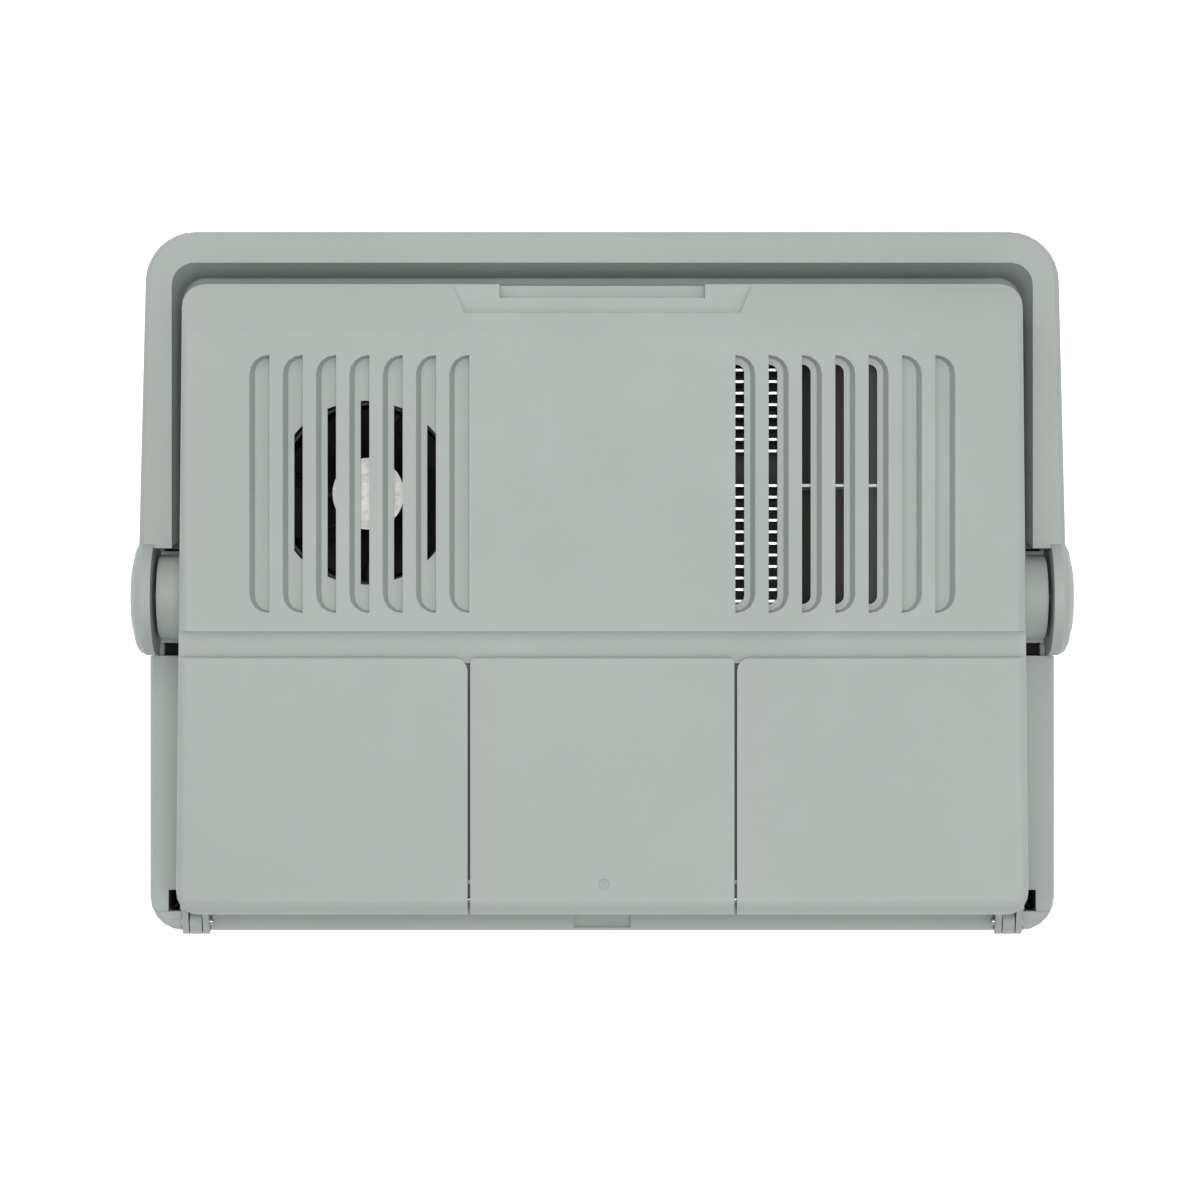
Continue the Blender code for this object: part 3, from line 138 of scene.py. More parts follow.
class Recipe(Bench):
    """A finish: a material whose nodes are added one by one."""

    def __init__(self, name):
        self.material = bpy.data.materials.new(name)
        self.material.use_nodes = True
        super().__init__(self.material.node_tree)
        self.surface = self.tree.nodes["Principled BSDF"]

    def place(self):
        return self.add("ShaderNodeTexCoord", {}, {}, "Object")

    def noise(self, size, detail=2.0, roughness=0.5, stretch=(1.0, 1.0, 1.0)):
        """Noise from 0 to 1 whose blobs are about that size, in metres."""
        spot = self.add("ShaderNodeMapping", {}, {"Vector": self.place(), "Scale": stretch})
        values = {"Vector": spot, "Scale": 1.0 / size, "Detail": detail, "Roughness": roughness}
        return self.add("ShaderNodeTexNoise", {}, values)

    def ramp(self, value, *stops):
        return self.add("ShaderNodeValToRGB", {"stops": stops}, {0: value})

    def blend(self, factor, first, second):
        """A colour between two others."""
        values = {0: factor, 6: first, 7: second}
        return self.add("ShaderNodeMix", {"data_type": "RGBA"}, values, 2)

    def bump(self, height, depth, strength=1.0):
        """A bump whose full height is that depth, in metres."""
        return self.add("ShaderNodeBump", {}, {"Height": height, "Distance": depth, "Strength": strength})

    def finish(self, **inputs):
        for name, value in inputs.items():
            self.feed(self.surface.inputs[name.replace("_", " ")], value)
        return self.material


def shade(red, green, blue):
    return (red, green, blue, 1.0)


def moulded_plastic(name, light, dark, roughness=0.50, grain=0.00045, depth=0.00004, scuffed=None):
    """Grained plastic: cloudy tone from the melt, a fine eroded grain, rubbed places and, up to a
    height that may be given, scratches and dirt from being set down."""
    recipe = Recipe(name)
    cloud = recipe.noise(0.09, 3.0)
    fleck = recipe.noise(0.0012, 2.0)
    pits = recipe.noise(grain, 3.0, 0.6)
    tone = recipe.ramp(cloud * 0.7 + fleck * 0.3, (0.30, 0.0), (0.70, 1.0))
    rubbed = recipe.ramp(recipe.noise(0.03, 5.0, 0.65), (0.52, 0.0), (0.72, 1.0))
    colour = recipe.blend(tone, dark, light)
    rough = roughness + pits * 0.10 - rubbed * 0.07
    if scuffed:
        low = recipe.ramp(recipe.place().part("Z") / scuffed, (0.0, 1.0), (1.0, 0.0))
        streaks = recipe.ramp(recipe.noise(0.004, 4.0, 0.7, (1.0, 1.0, 0.16)), (0.56, 0.0), (0.66, 1.0))
        scuff = low * streaks
        colour = recipe.blend(scuff * 0.45, colour, shade(0.20, 0.20, 0.19))
        rough = rough + scuff * 0.2
    return recipe.finish(Base_Color=colour, Roughness=rough, Normal=recipe.bump(pits, depth))


GREY_LIGHT, GREY_DARK = shade(0.402, 0.438, 0.416), shade(0.370, 0.404, 0.383)
body_plastic = moulded_plastic("body_plastic", GREY_LIGHT, GREY_DARK)
shell_plastic = moulded_plastic("shell_plastic", GREY_LIGHT, GREY_DARK, 0.55, 0.0007, 0.00007, 0.06)


def moulded(node, body, finish, edge, segments=2, bend=30):
    """A moulded piece in place of a CAD solid: its facets are merged and its edges rounded."""
    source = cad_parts[node]
    mesh = bpy.data.meshes.new(node + "_moulded")
    spots = [vertex.co[:] for vertex in source.data.vertices]
    mesh.from_pydata(spots, [], [face.vertices[:] for face in source.data.polygons])
    grid = bmesh.new()
    grid.from_mesh(mesh)
    bmesh.ops.remove_doubles(grid, verts=grid.verts, dist=2e-6)
    bmesh.ops.dissolve_limit(grid, angle_limit=math.radians(0.5), verts=grid.verts, edges=grid.edges)
    grid.to_mesh(mesh)
    grid.free()
    return dress(show(mesh), node, body, finish, edge, segments, bend)


def show(mesh):
    piece = bpy.data.objects.new(mesh.name, mesh)
    bpy.context.scene.collection.objects.link(piece)
    return piece


def dress(piece, nodes, body, finish, edge, segments=2, bend=30):
    """Rounds a piece's edges, gives it its finish and lets it stand for its CAD solid."""
    if edge:
        rounding = piece.modifiers.new("Edges", "BEVEL")
        rounding.width = edge
        rounding.segments = segments
        rounding.limit_method = "ANGLE"
        rounding.angle_limit = math.radians(bend)
        rounding.miter_outer = "MITER_ARC"
        fix_mesh(piece)
    piece.data.shade_smooth()
    piece.data.set_sharp_from_angle(angle=math.radians(38))
    levelling = piece.modifiers.new("Flat faces stay flat", "WEIGHTED_NORMAL")
    levelling.weight = 100
    levelling.keep_sharp = True
    fix_mesh(piece)
    piece.data.materials.clear()
    piece.data.materials.append(finish)
    if nodes:
        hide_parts(nodes)
    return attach(piece, body)


def fix_mesh(piece):
    """Turns a piece and its modifiers into plain mesh."""
    bpy.context.view_layer.update()
    shaped = piece.evaluated_get(bpy.context.evaluated_depsgraph_get())
    piece.data = bpy.data.meshes.new_from_object(shaped)
    piece.modifiers.clear()


moulded("outer_shell", "box", shell_plastic, 0.0008, 3)

# ---- Feet ----------------------------------------------------------------------------------
# Four turned rubber buttons pressed into the shell's floor. They keep the box from sliding and
# are dull, slightly dusty and worn smooth where they stand.
RUBBER_LIGHT, RUBBER_DARK = shade(0.040, 0.040, 0.042), shade(0.024, 0.024, 0.026)
rubber = moulded_plastic("rubber", RUBBER_LIGHT, RUBBER_DARK, 0.75, 0.0006, 0.00006)
for corner in ("front_left", "front_right", "rear_left", "rear_right"):
    moulded("foot_" + corner, "box", rubber, 0.0006, 3)

# ---- Foam ----------------------------------------------------------------------------------
# Polyurethane foam, poured as a liquid between shell and liner, where it swells and sets. Its
# faces are pale yellow with open cells; at the rim's deep pockets the foam is painted near-black as painted
# shade.
foam = Recipe("insulating_foam")
cells = foam.noise(0.0025, 4.0, 0.7)
spot = foam.place()
# Painted shade: foam high up at the sides, in the rim's hinge pockets, is coloured near-black for the shade
# in those deep holes.
pocket_painted_shade = (spot.part("Z") > 0.250) * ((spot.part("X") > 0.162) + (spot.part("X") < -0.162))
open_cells = foam.blend(cells, shade(0.66, 0.58, 0.38), shade(0.86, 0.80, 0.62))
insulating_foam = foam.finish(
    Base_Color=foam.blend(pocket_painted_shade, open_cells, shade(0.010, 0.010, 0.010)),
    Roughness=0.80 + cells * 0.15, Normal=foam.bump(cells, 0.0006))
moulded("foam_insulation", "box", insulating_foam, 0)
moulded("lid_foam", "lid", insulating_foam, 0)

# ---- Inner liner ---------------------------------------------------------------------------
# A thin tub of food-safe white polystyrene, pulled over a mould by vacuum. It is smooth and
# glossy, with faint waves in the sheet and fine scratches from bottles and boxes.
enamel = Recipe("liner_plastic")
waves = enamel.noise(0.05, 2.0)
scratches = enamel.ramp(enamel.noise(0.0016, 5.0, 0.7, (1.0, 1.0, 0.10)), (0.60, 0.0), (0.70, 1.0))
liner_plastic = enamel.finish(
    Base_Color=enamel.blend(waves, shade(0.69, 0.71, 0.715), shade(0.76, 0.78, 0.78)),
    Roughness=0.27 + waves * 0.06 + scratches * 0.10,
    Normal=enamel.bump(waves, 0.00012))
moulded("inner_liner", "box", liner_plastic, 0)

# ---- Rim -----------------------------------------------------------------------------------
# A moulded frame that clips over the shell's edge and holds the liner down. Its ledge carries
# the lid's seal, and steel pins for the lid's hinge lugs are pressed in at its rear corners.
moulded("top_rim", "box", body_plastic, 0.0004)
steel_recipe = Recipe("drawn_steel")
draw_lines = steel_recipe.noise(0.0004, 3.0, 0.6, (0.06, 1.0, 1.0))
steel = steel_recipe.finish(
    Base_Color=steel_recipe.blend(draw_lines, shade(0.44, 0.44, 0.45), shade(0.62, 0.62, 0.63)),
    Metallic=1.0, Roughness=0.28 + draw_lines * 0.18, Normal=steel_recipe.bump(draw_lines, 0.00002))
for side in ("left", "right"):
    moulded("hinge_pin_" + side, "box", steel, 0.0003)

# ---- Handle hubs and axles -----------------------------------------------------------------
# Round bosses that stand on the rim beside the lid, screwed on from inside. Each holds the
# steel axle that one arm of the handle turns on.
for side in ("left", "right"):
    moulded("handle_hub_" + side, "box", body_plastic, 0.0006)
    moulded("pivot_axle_" + side, "box", steel, 0.0005)

# ---- Carry handle --------------------------------------------------------------------------
# One stiff U-shaped moulding, two tapering arms and a crossbar, with a flat disc at the end of
# each arm. Its grip is polished a little by hands. A cap snapped over each disc hides the axle.
moulded("carry_handle", "handle", body_plastic, 0.0006, 3)
for side in ("left", "right"):
    moulded("handle_cap_" + side, "handle", body_plastic, 0.0006, 3)

# ---- Lid floor, seal and screws ------------------------------------------------------------
# The lid's inner face is a smooth white moulding, held to the cover by eight screws from below,
# with a soft dark seal pushed into a groove all round it.
moulded("lid_base", "lid", liner_plastic, 0.0006)
moulded("lid_seal", "lid", rubber, 0.0004)


class Pattern(Bench):
    """A geometry tree for something that repeats, with a named input for each size."""

    KINDS = {int: "NodeSocketInt", float: "NodeSocketFloat"}

    def __init__(self, name, **sizes):
        super().__init__(bpy.data.node_groups.new(name, "GeometryNodeTree"))
        face = self.tree.interface
        face.new_socket("Spots", in_out="INPUT", socket_type="NodeSocketGeometry")
        for size, kind in sizes.items():
            face.new_socket(size, in_out="INPUT", socket_type=self.KINDS[kind])
        face.new_socket("Finish", in_out="INPUT", socket_type="NodeSocketMaterial")
        face.new_socket("Pieces", in_out="OUTPUT", socket_type="NodeSocketGeometry")
        self.entry = self.tree.nodes.new("NodeGroupInput")
        self.exit = self.tree.nodes.new("NodeGroupOutput")

    def size(self, name):
        return Wire(self, self.entry.outputs[name])

    def repeat(self, spots, part, **more):
        return self.add("GeometryNodeInstanceOnPoints", {}, {"Points": spots, "Instance": part, **more})

    def close(self, pieces):
        plain = self.add("GeometryNodeRealizeInstances", {}, {0: pieces})
        paint = {"Geometry": plain, "Material": self.size("Finish")}
        painted = self.add("GeometryNodeSetMaterial", {}, paint)
        self.feed(self.exit.inputs[0], painted)

    def grow(self, name, finish, spots, at=(0.0, 0.0, 0.0), wall=0.0, **sizes):
        """One plain mesh of the pattern, moved to its place, its sheets given a thickness."""
        mesh = bpy.data.meshes.new(name)
        mesh.from_pydata(spots, [], [])
        piece = show(mesh)
        growth = piece.modifiers.new("Pattern", "NODES")
        growth.node_group = self.tree
        sizes["Finish"] = finish
        for item in self.tree.interface.items_tree:
            if item.in_out == "INPUT" and item.name in sizes:
                growth[item.identifier] = sizes[item.name]
        if wall:
            sheet = piece.modifiers.new("Wall", "SOLIDIFY")
            sheet.thickness = wall
            sheet.offset = 0.0
        fix_mesh(piece)
        piece.data.transform(Matrix.Translation(at))
        return piece


screw_heads = Pattern("screw_heads", Radius=float, Height=float, Turn=float)
head = screw_heads.add("GeometryNodeMeshCone", {}, {
    "Vertices": 28, "Side Segments": 2, "Radius Bottom": screw_heads.size("Radius"),
    "Radius Top": screw_heads.size("Radius") * 0.62, "Depth": screw_heads.size("Height")})
bars = screw_heads.add("GeometryNodeJoinGeometry", {}, {})
for long, short in (("X", "Y"), ("Y", "X")):
    bar_size = screw_heads.add("ShaderNodeCombineXYZ", {}, {
        long: screw_heads.size("Radius") * 1.05, short: screw_heads.size("Radius") * 0.24,
        "Z": screw_heads.size("Height")})
    bar = screw_heads.add("GeometryNodeMeshCube", {}, {"Size": bar_size})
    lift = screw_heads.add("ShaderNodeCombineXYZ", {}, {"Z": screw_heads.size("Height")})
    raised = screw_heads.add("GeometryNodeTransform", {}, {"Geometry": bar, "Translation": lift})
    screw_heads.tree.links.new(raised.socket, bars.socket.node.inputs[0])
crossed = screw_heads.add("GeometryNodeMeshBoolean", {"operation": "DIFFERENCE"},
                          {"Mesh 1": head, "Mesh 2": bars})
facing = screw_heads.add("ShaderNodeCombineXYZ", {}, {"X": screw_heads.size("Turn")})
screw_heads.close(screw_heads.repeat(screw_heads.size("Spots"), crossed, Rotation=facing))

FACING_DOWN, FACING_UP = math.pi, 0.0


def screws(name, body, spots, radius, height, turn):
    heads = screw_heads.grow(name, steel, spots, Radius=radius, Height=height, Turn=turn)
    return dress(heads, None, body, steel, 0)


base_low, base_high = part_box("lid_base")
centre_y = (base_low.y + base_high.y) / 2
SCREW_REACH_X, SCREW_REACH_Y = base_high.x - 0.035, (base_high.y - base_low.y) / 2 - 0.040
round_the_plug = [(x, y) for x in (-1, 0, 1) for y in (-1, 1)] + [(-1, 0), (1, 0)]
screws("lid_screws", "lid",
       [(x * SCREW_REACH_X, centre_y + y * SCREW_REACH_Y, base_low.z) for x, y in round_the_plug],
       0.0034, 0.0011, FACING_DOWN)

# ---- Lid cover -----------------------------------------------------------------------------
# The large moulding on top of the box: a shallow hood with seven sloped louvre slots on each
# side, a finger recess in its front edge and two pairs of hinge lugs at the rear.
moulded("lid_cover", "lid", body_plastic, 0)

# ---- Compartment tray and sockets ----------------------------------------------------------
# A dark moulded tray under the doors, with two deep bins for leads and a raised panel between
# them. The panel holds the mains and 12 V inlets, the mode switch and a green lamp.
dark_plastic = moulded_plastic("dark_plastic", shade(0.021, 0.021, 0.023), shade(0.013, 0.013, 0.015), 0.42)
moulded("compartment_tray", "lid", dark_plastic, 0.0004)
for socket in ("mains_inlet", "dc_inlet"):
    moulded(socket, "lid", dark_plastic, 0.0003)
moulded("mode_switch", "switch", dark_plastic, 0.0004)
lamp = Recipe("lamp_lens")
lamp_cloud = lamp.noise(0.0008, 3.0)
lamp_lens = lamp.finish(
    Base_Color=lamp.blend(lamp_cloud, shade(0.03, 0.28, 0.07), shade(0.08, 0.46, 0.14)),
    Roughness=0.12 + lamp_cloud * 0.08)
moulded("indicator_lens", "lid", lamp_lens, 0.0004, 3)

# ---- Inlet contacts ------------------------------------------------------------------------
# Round brass pins with domed tips, pressed in from below: two in the mains inlet, and one in
# the middle of the 12 V inlet.
PIN_LENGTH, PIN_SINK = 0.0085, 0.0020
contacts = Pattern("contact_pins", Radius=float, Height=float)
stem = contacts.add("GeometryNodeMeshCylinder", {}, {
    "Vertices": 16, "Radius": contacts.size("Radius"), "Depth": contacts.size("Height")})
tip = contacts.add("GeometryNodeMeshUVSphere", {}, {
    "Segments": 16, "Rings": 8, "Radius": contacts.size("Radius")})
raise_tip = contacts.add("ShaderNodeCombineXYZ", {}, {"Z": contacts.size("Height") * 0.5})
tip = contacts.add("GeometryNodeTransform", {}, {"Geometry": tip, "Translation": raise_tip})
pin = contacts.add("GeometryNodeMeshBoolean", {"operation": "UNION"}, {"Mesh 2": stem})
contacts.tree.links.new(tip.socket, pin.socket.node.inputs["Mesh 2"])
contacts.close(contacts.repeat(contacts.size("Spots"), pin))
brass_recipe = Recipe("brass")
tarnish = brass_recipe.noise(0.002, 4.0)
brass = brass_recipe.finish(
    Base_Color=brass_recipe.blend(tarnish, shade(0.42, 0.28, 0.10), shade(0.66, 0.49, 0.21)),
    Metallic=1.0, Roughness=0.24 + tarnish * 0.2)
for socket, spread, radius in (("mains_inlet", 0.0032, 0.0010), ("dc_inlet", 0.0, 0.0013)):
    low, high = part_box(socket)
    middle = (low + high) / 2
    spots = sorted({(middle.x + side * spread, middle.y, middle.z - PIN_SINK) for side in (-1, 1)})
    pins = contacts.grow(socket + "_pins", brass, spots, Radius=radius, Height=PIN_LENGTH)
    dress(pins, None, "lid", brass, 0)

# ---- Tray screws ---------------------------------------------------------------------------
# Four pan-head screws, one in a corner of each deep bin, hold the tray down to the lid's posts.
TRAY_FLOOR, SCREW_FROM_WALL = 0.0020, 0.0120
tray_low, tray_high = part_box("compartment_tray")
tray_screw_x = tray_high.x - SCREW_FROM_WALL
tray_screw_y = (tray_low.y + SCREW_FROM_WALL, tray_high.y - SCREW_FROM_WALL)
screws("tray_screws", "lid",
       [(x * tray_screw_x, y, tray_low.z + TRAY_FLOOR) for x in (-1, 1) for y in tray_screw_y],
       0.0032, 0.0014, FACING_UP)

# ---- Supply board --------------------------------------------------------------------------
# A glass-fibre board under the panel, green with lighter copper tracks below its lacquer. It
# carries a flat transformer with a taped winding and a smoothing capacitor in a shrunk sleeve.
circuit = Recipe("circuit_board")
spot = circuit.place()
stripes = circuit.add("ShaderNodeTexWave", {"wave_type": "BANDS", "bands_direction": "DIAGONAL"},
                      {"Vector": spot, "Scale": 60.0, "Distortion": 6.0, "Detail": 1.0,
                       "Detail Scale": 0.6}, 1)
tracks = circuit.ramp(stripes, (0.55, 0.0), (0.62, 1.0))
pads = circuit.add("ShaderNodeTexVoronoi", {}, {"Vector": spot, "Scale": 220.0}, 0) < 0.22
green = circuit.blend(tracks, shade(0.012, 0.115, 0.040), shade(0.030, 0.210, 0.075))
circuit_board = circuit.finish(
    Base_Color=circuit.blend(pads, green, shade(0.55, 0.56, 0.57)),
    Metallic=pads * 0.9, Roughness=0.42 - pads * 0.12, Normal=circuit.bump(tracks + pads, 0.00008))
moulded("power_board", "lid", circuit_board, 0.0002)
tape = Recipe("component")
turns = tape.add("ShaderNodeTexWave", {"bands_direction": "Y"},
                 {"Vector": tape.place(), "Scale": 420.0, "Distortion": 1.2, "Detail": 2.0}, 1)
component = tape.finish(
    Base_Color=tape.blend(turns, shade(0.20, 0.14, 0.035), shade(0.45, 0.34, 0.11)),
    Roughness=0.34 + turns * 0.2, Normal=tape.bump(turns, 0.0002))
moulded("transformer", "lid", component, 0.0002)
moulded("capacitor", "lid", component, 0.0008, 3)

# ---- Doors ---------------------------------------------------------------------------------
# Three thin covers, each moulded with its hinge barrels and rolled over at the rear edge, that
# turn on one long steel rod. The middle one has a small round dimple for a fingertip.
for side in ("left", "right"):
    moulded("door_" + side, "door_" + side, body_plastic, 0.0004)
DIMPLE_RADIUS, DIMPLE_FROM_REAR, DIMPLE_OFFSET = 0.0024, 0.0134, 0.0007
DIMPLE_AT = (DIMPLE_OFFSET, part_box("door_centre")[0].y + DIMPLE_FROM_REAR)
dimpled = Recipe("dimpled_plastic")
spot = dimpled.place()
across, along = spot.part("X") - DIMPLE_AT[0], spot.part("Y") - DIMPLE_AT[1]
distance = (across * across + along * along) / DIMPLE_RADIUS ** 2
dish = dimpled.ramp(distance, (0.0, 1.0), (0.75, 0.55), (1.0, 0.0))
cloud = dimpled.noise(0.09, 3.0)
fleck = dimpled.noise(0.0012, 2.0)
pits = dimpled.noise(0.00045, 3.0, 0.6)
tone = dimpled.ramp(cloud * 0.7 + fleck * 0.3, (0.30, 0.0), (0.70, 1.0))
plain_grey = dimpled.blend(tone, GREY_DARK, GREY_LIGHT)
# Painted shade: the dimple's dish also darkens the colour towards a deeper grey, besides shaping the bump.
dimpled_plastic = dimpled.finish(
    Base_Color=dimpled.blend(dish * 0.35, plain_grey, shade(0.30, 0.32, 0.31)),
    Roughness=0.50 + pits * 0.10, Normal=dimpled.bump(pits * 0.10 - dish, 0.0004))
moulded("door_centre", "door_centre", dimpled_plastic, 0.0002)
moulded("door_hinge_rod", "lid", steel, 0.0002)

# ---- Air duct ------------------------------------------------------------------------------
# A black moulded hood over fan and fins, pressed against the grilles from below, with a sheet
# under it. Past the fins a grey ramp with a pale rib turns the air up through the other grille.
soot = moulded_plastic("duct_plastic", shade(0.012, 0.012, 0.013), shade(0.006, 0.006, 0.007), 0.62, 0.0006)
sink_low, sink_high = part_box("hot_heatsink")
ramped = Recipe("ramp_plastic")
spot = ramped.place()
beyond = spot.part("X") > sink_high.x + 0.001
off_rib = spot.part("Y") - (sink_low.y + sink_high.y) / 2
on_rib = (off_rib < 0.0008) * (off_rib > -0.0008)
grain = ramped.noise(0.0006, 3.0)
ramp_grey = ramped.blend(grain, shade(0.17, 0.165, 0.158), shade(0.22, 0.214, 0.205))
ramp_colour = ramped.blend(on_rib, ramp_grey, shade(0.75, 0.77, 0.76))
ramp_plastic = ramped.finish(
    Base_Color=ramped.blend(beyond, shade(0.009, 0.009, 0.010), ramp_colour),
    Roughness=0.60 + grain * 0.10, Normal=ramped.bump(grain, 0.00004))
moulded("air_duct", "lid", ramp_plastic, 0.0003)
moulded("duct_floor", "lid", soot, 0.0001)

# ---- Fans ----------------------------------------------------------------------------------
# Two axial fans in square glass-filled frames: a wheel of seven thin blades that are curved and
# twisted round a cup-shaped hub. The large one's hub carries a plain foil disc that is given a faint painted
# glow.
moulded("fan_frame", "lid", dark_plastic, 0.0004)
moulded("inner_fan_frame", "lid", dark_plastic, 0.0004)
blades = Pattern("fan_blades", Count=int, Hub=float, Tip=float, Rise=float, Sweep=float)
span = blades.size("Tip") - blades.size("Hub")
sheet = blades.add("GeometryNodeMeshGrid", {}, {
    "Size X": span, "Size Y": 1.0, "Vertices X": 9, "Vertices Y": 9})
spot = blades.add("GeometryNodeInputPosition", {}, {})
outward = spot.part("X") + (blades.size("Tip") + blades.size("Hub")) * 0.5
reach = (outward - blades.size("Hub")) / span
turn = (spot.part("Y") - reach * 0.35) * blades.size("Sweep")
twist, hollow = spot.part("Y") * (1.0 - reach * 0.35), spot.part("Y") * spot.part("Y") * 0.35 - 0.06
height = (twist + hollow) * blades.size("Rise")
curled = blades.add("ShaderNodeCombineXYZ", {}, {
    "X": outward * turn.maths("COSINE", turn, 0.0),
    "Y": outward * turn.maths("SINE", turn, 0.0), "Z": height})
blade = blades.add("GeometryNodeSetPosition", {}, {"Geometry": sheet, "Position": curled})
centres = blades.add("GeometryNodePoints", {}, {"Count": blades.size("Count")})
step = blades.add("GeometryNodeInputIndex", {}, {}) * (2 * math.pi) / blades.size("Count")
facing = blades.add("ShaderNodeCombineXYZ", {}, {"Z": step})
blades.close(blades.repeat(centres, blade, Rotation=facing))


def turned(name, profile, middle, steps=48):
    """A closed turned form: (radius, height) points from the axis round to the axis again."""
    mesh = bpy.data.meshes.new(name)
    grid = bmesh.new()
    rings = []
    for radius, z in profile:
        if radius:
            rings.append([grid.verts.new((middle[0] + radius * math.cos(2 * math.pi * k / steps),
                                          middle[1] + radius * math.sin(2 * math.pi * k / steps), z))
                          for k in range(steps)])
        else:
            rings.append([grid.verts.new((middle[0], middle[1], z))] * steps)
    for near, far in zip(rings, rings[1:]):
        for k in range(steps):
            corners = []
            for corner in (near[k], near[(k + 1) % steps], far[(k + 1) % steps], far[k]):
                if corner not in corners:
                    corners.append(corner)
            grid.faces.new(corners)
    bmesh.ops.recalc_face_normals(grid, faces=grid.faces)
    grid.to_mesh(mesh)
    grid.free()
    return show(mesh)


def fan_wheel(node, body, hub, wall):
    """Blades and hub in place of a CAD wheel."""
    low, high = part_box(node)
    middle = (low + high) / 2
    tip = (high.y - low.y) / 2
    wheel = blades.grow(node + "_blades", dark_plastic, [(0, 0, 0)], middle, wall,
                        Count=7, Hub=hub - 0.0006, Tip=tip - 0.0004, Rise=(high.z - low.z) * 0.80, Sweep=0.70)
    dress(wheel, node, body, dark_plastic, 0)
    crown = [(0, low.z), (hub - 0.0008, low.z), (hub, low.z + 0.0008), (hub, high.z - 0.0018),
             (hub - 0.0006, high.z - 0.0006), (hub - 0.0018, high.z), (0, high.z)]
    dress(turned(node + "_hub", crown, middle), node, body, dark_plastic, 0)
    return middle, high.z


HUB_RADIUS, INNER_HUB_RADIUS = 0.0160, 0.0120
fan_middle, fan_top = fan_wheel("fan_rotor", "fan", HUB_RADIUS, 0.0011)
fan_wheel("inner_fan_rotor", "inner_fan", INNER_HUB_RADIUS, 0.0008)
foil_recipe = Recipe("hub_foil")
brushed = foil_recipe.ramp(foil_recipe.noise(0.0045, 3.0, 0.6, (0.6, 1.0, 1.0)), (0.44, 0.0), (0.58, 1.0))
# Painted glow: the foil's emission makes it shine as if lit, though it is no lamp.
hub_foil = foil_recipe.finish(
    Base_Color=foil_recipe.blend(brushed, shade(0.44, 0.44, 0.44), shade(0.90, 0.90, 0.88)),
    Emission_Color=shade(0.80, 0.80, 0.77), Emission_Strength=0.35, Roughness=0.42 + brushed * 0.15)
FOIL_RADIUS, FOIL_THICKNESS = HUB_RADIUS - 0.0004, 0.0002
foil_side = fan_top + FOIL_THICKNESS / 2
foil = turned("hub_foil", [(0, fan_top), (FOIL_RADIUS, fan_top), (FOIL_RADIUS, foil_side),
                           (FOIL_RADIUS - FOIL_THICKNESS / 2, fan_top + FOIL_THICKNESS),
                           (0, fan_top + FOIL_THICKNESS)], fan_middle)
dress(foil, None, "fan", hub_foil, 0)
FAN_SCREW_INSET, FAN_SCREW_SINK = 0.0046, 0.0002
frame_low, frame_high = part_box("fan_frame")
screws("fan_screws", "lid",
       [(x, y, frame_high.z - FAN_SCREW_SINK)
        for x in (frame_low.x + FAN_SCREW_INSET, frame_high.x - FAN_SCREW_INSET)
        for y in (frame_low.y + FAN_SCREW_INSET, frame_high.y - FAN_SCREW_INSET)], 0.0026, 0.0016, FACING_UP)

# ---- Heat sinks and module -----------------------------------------------------------------
# Extruded aluminium combs above and below a ceramic thermoelectric tile, whose cold reaches the
# lower comb through a solid block. The upper comb leaves two rows bare for its clamp screws.
metal = Recipe("extruded_aluminium")
lines = metal.noise(0.0006, 3.0, 0.6, (0.05, 1.0, 1.0))
aluminium = metal.finish(
    Base_Color=metal.blend(lines, shade(0.34, 0.34, 0.345), shade(0.56, 0.56, 0.57)),
    Metallic=1.0, Roughness=0.32 + lines * 0.2, Normal=metal.bump(lines, 0.00003))
dull = Recipe("oxidised_aluminium")
blotch = dull.noise(0.004, 4.0, 0.65)
dull_aluminium = dull.finish(
    Base_Color=dull.blend(blotch, shade(0.09, 0.09, 0.09), shade(0.17, 0.165, 0.16)),
    Metallic=0.8, Roughness=0.50 + blotch * 0.2, Normal=dull.bump(blotch, 0.00004))
fins = Pattern("extruded_fins", Count=int, Pitch=float, Thickness=float, Length=float, Height=float,
               Taper=float, Bare_From=int, Bare_Rows=int)
first = fins.add("ShaderNodeCombineXYZ", {}, {"Y": (fins.size("Count") - 1.0) * fins.size("Pitch") * 0.5})
stride = fins.add("ShaderNodeCombineXYZ", {}, {"Y": fins.size("Pitch") * -1.0})
rows = fins.add("GeometryNodeMeshLine", {}, {
    "Count": fins.size("Count"), "Start Location": first, "Offset": stride})
fin_size = fins.add("ShaderNodeCombineXYZ", {}, {
    "X": fins.size("Length"), "Y": fins.size("Thickness"), "Z": fins.size("Height")})
fin = fins.add("GeometryNodeMeshCube", {}, {
    "Size": fin_size, "Vertices X": 2, "Vertices Y": 3, "Vertices Z": 4})
spot = fins.add("GeometryNodeInputPosition", {}, {})
slimmer = fins.add("ShaderNodeCombineXYZ", {}, {
    "X": spot.part("X"), "Z": spot.part("Z"),
    "Y": spot.part("Y") * (1.0 - spot.part("Z") * fins.size("Taper") / fins.size("Height"))})
fin = fins.add("GeometryNodeSetPosition", {}, {"Geometry": fin, "Position": slimmer})
row = fins.add("GeometryNodeInputIndex", {}, {})
bare = fins.size("Bare_From")
kept = (row < bare) + (row > bare + fins.size("Bare_Rows") - 1.0)
fins.close(fins.repeat(rows, fin, Selection=kept))


FIN_THICKNESS, FIN_TAPER = 0.0012, 0.25


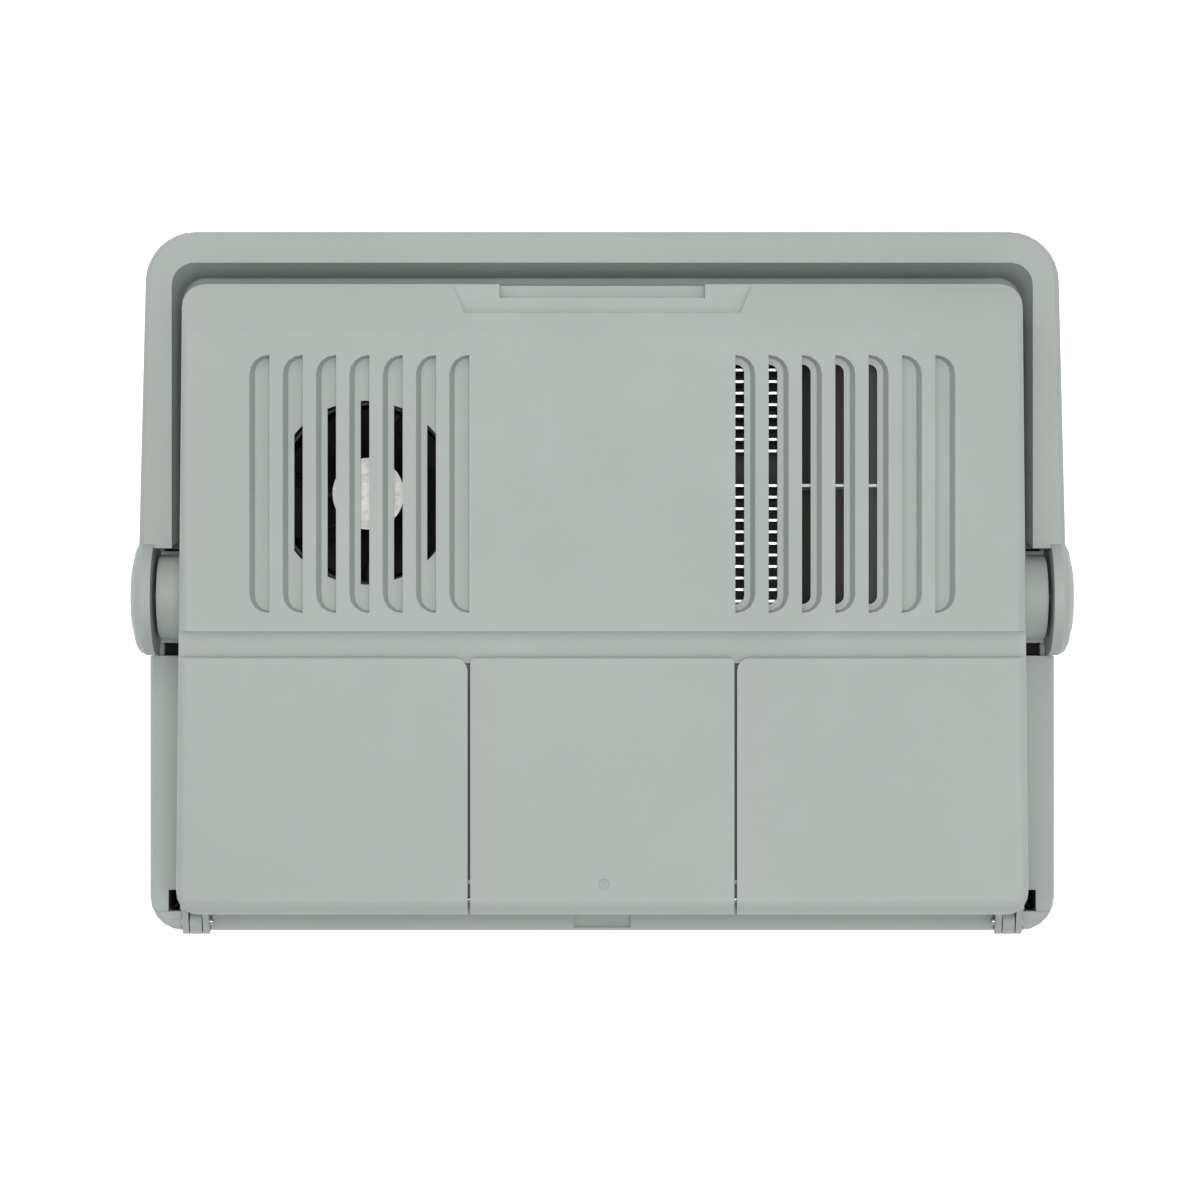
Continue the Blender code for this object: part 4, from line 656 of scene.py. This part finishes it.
def comb(node, base, upwards, pitch, taper, bare_from, bare_rows):
    """An extruded comb in place of its CAD solid: a bevelled base plate and its fins."""
    low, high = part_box(node)
    root = base - 0.0004
    if upwards:
        plate, reach = (low.z, low.z + base), (low.z + root, high.z)
    else:
        plate, reach = (high.z - base, high.z), (low.z, high.z - root)
    mesh = bpy.data.meshes.new(node + "_base")
    grid = bmesh.new()
    bmesh.ops.create_cube(grid, size=1.0)
    for vertex in grid.verts:
        vertex.co = [low[axis] if vertex.co[axis] < 0 else high[axis] for axis in (0, 1)] + [
            plate[0] if vertex.co.z < 0 else plate[1]]
    grid.to_mesh(mesh)
    grid.free()
    dress(show(mesh), node, "lid", dull_aluminium, 0.0004)
    at = ((low.x + high.x) / 2, (low.y + high.y) / 2, sum(reach) / 2)
    row_fins = fins.grow(
        node + "_fins", aluminium, [(0, 0, 0)], at, Count=round((high.y - low.y) / pitch), Pitch=pitch,
        Thickness=FIN_THICKNESS, Length=high.x - low.x, Height=reach[1] - reach[0], Taper=taper,
        Bare_From=bare_from, Bare_Rows=bare_rows)
    dress(row_fins, node, "lid", aluminium, 0)


HOT_BASE, HOT_PITCH, FIRST_BARE, BARE_ROWS = 0.0050, 0.0050, 8, 2
COLD_BASE, COLD_PITCH, NO_BARE = 0.0042, 0.0062, 99
comb("hot_heatsink", HOT_BASE, True, HOT_PITCH, FIN_TAPER, FIRST_BARE, BARE_ROWS)
comb("cold_heatsink", COLD_BASE, False, COLD_PITCH, -FIN_TAPER, NO_BARE, 0)
CLAMP_FROM_END = 0.0300
bare_y = sink_high.y - (FIRST_BARE + BARE_ROWS / 2) * HOT_PITCH
clamp_x = (sink_low.x + CLAMP_FROM_END, sink_high.x - CLAMP_FROM_END)
screws("clamp_screws", "lid", [(x, bare_y, sink_low.z + HOT_BASE - 0.0001) for x in clamp_x],
       0.0030, 0.0024, FACING_UP)
moulded("cold_block", "lid", aluminium, 0.0003)
tile = Recipe("ceramic_tile")
grit = tile.noise(0.0015, 4.0, 0.7)
ceramic = tile.finish(
    Base_Color=tile.blend(grit, shade(0.74, 0.74, 0.70), shade(0.86, 0.86, 0.83)),
    Roughness=0.55 + grit * 0.2, Normal=tile.bump(grit, 0.00005))
moulded("peltier_module", "lid", ceramic, 0.0002)

# ---- Inner fan cover -----------------------------------------------------------------------
# A white guard with slots that snaps over the cold fins and their fan on the lid's underside,
# and is held by four small screws.
moulded("inner_fan_cover", "lid", liner_plastic, 0.0005)
GUARD_SCREW_INSET = 0.0120
guard_low, guard_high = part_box("inner_fan_cover")
screws("guard_screws", "lid",
       [(x, y, guard_low.z + 0.0001)
        for x in (guard_low.x + GUARD_SCREW_INSET, guard_high.x - GUARD_SCREW_INSET)
        for y in (guard_low.y + GUARD_SCREW_INSET, guard_high.y - GUARD_SCREW_INSET)],
       0.0028, 0.0009, FACING_DOWN)

# ---- Studio --------------------------------------------------------------------------------
# A plain pale floor, a large soft light in front and above, a weaker one from the rear, one
# overhead that reaches down between the louvres, and an even white sky.
floor_mesh = bpy.data.meshes.new("floor")
FLOOR_REACH, FLOOR_DROP = 6.0, -0.0005
corner_signs = ((-1, -1), (1, -1), (1, 1), (-1, 1))
floor_corners = [(x * FLOOR_REACH, y * FLOOR_REACH, FLOOR_DROP) for x, y in corner_signs]
floor_mesh.from_pydata(floor_corners, [], [(0, 1, 2, 3)])
floor = show(floor_mesh)
paper = Recipe("paper")
floor_mesh.materials.append(paper.finish(
    Base_Color=shade(0.90, 0.90, 0.90), Roughness=0.9, Emission_Color=shade(1, 1, 1), Emission_Strength=0.65))


def area_light(name, place, target, size, power):
    lamp = bpy.data.lights.new(name, "AREA")
    lamp.size = size
    lamp.energy = power
    light = bpy.data.objects.new(name, lamp)
    light.location = place
    light.rotation_euler = (Vector(target) - Vector(place)).to_track_quat("-Z", "Y").to_euler()
    bpy.context.scene.collection.objects.link(light)


middle = (cad_box[0] + cad_box[1]) / 2
area_light("key", (-0.5, 1.3, 2.4), middle, 1.6, 11.5)
area_light("fill", (0.9, -0.7, 2.2), middle, 1.8, 4.5)
area_light("overhead", (0.1, 0.0, 3.0), middle, 0.7, 23.5)
world = bpy.data.worlds.new("studio")
world.use_nodes = True
world.node_tree.nodes["Background"].inputs["Color"].default_value = (1, 1, 1, 1)
world.node_tree.nodes["Background"].inputs["Strength"].default_value = 0.50
bpy.context.scene.world = world
bpy.context.scene.view_settings.view_transform = "Standard"

lid_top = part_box("lid_cover")[1].z
pivot_y = (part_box("pivot_axle_left")[0].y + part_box("pivot_axle_left")[1].y) / 2
lens = bpy.data.cameras.new("camera")
lens.lens = 111.6
camera = bpy.data.objects.new("camera", lens)
CAMERA_HEIGHT = 1.6
camera.location = (-0.0010, pivot_y - 0.0013, lid_top + CAMERA_HEIGHT)
bpy.context.scene.collection.objects.link(camera)
bpy.context.scene.camera = camera
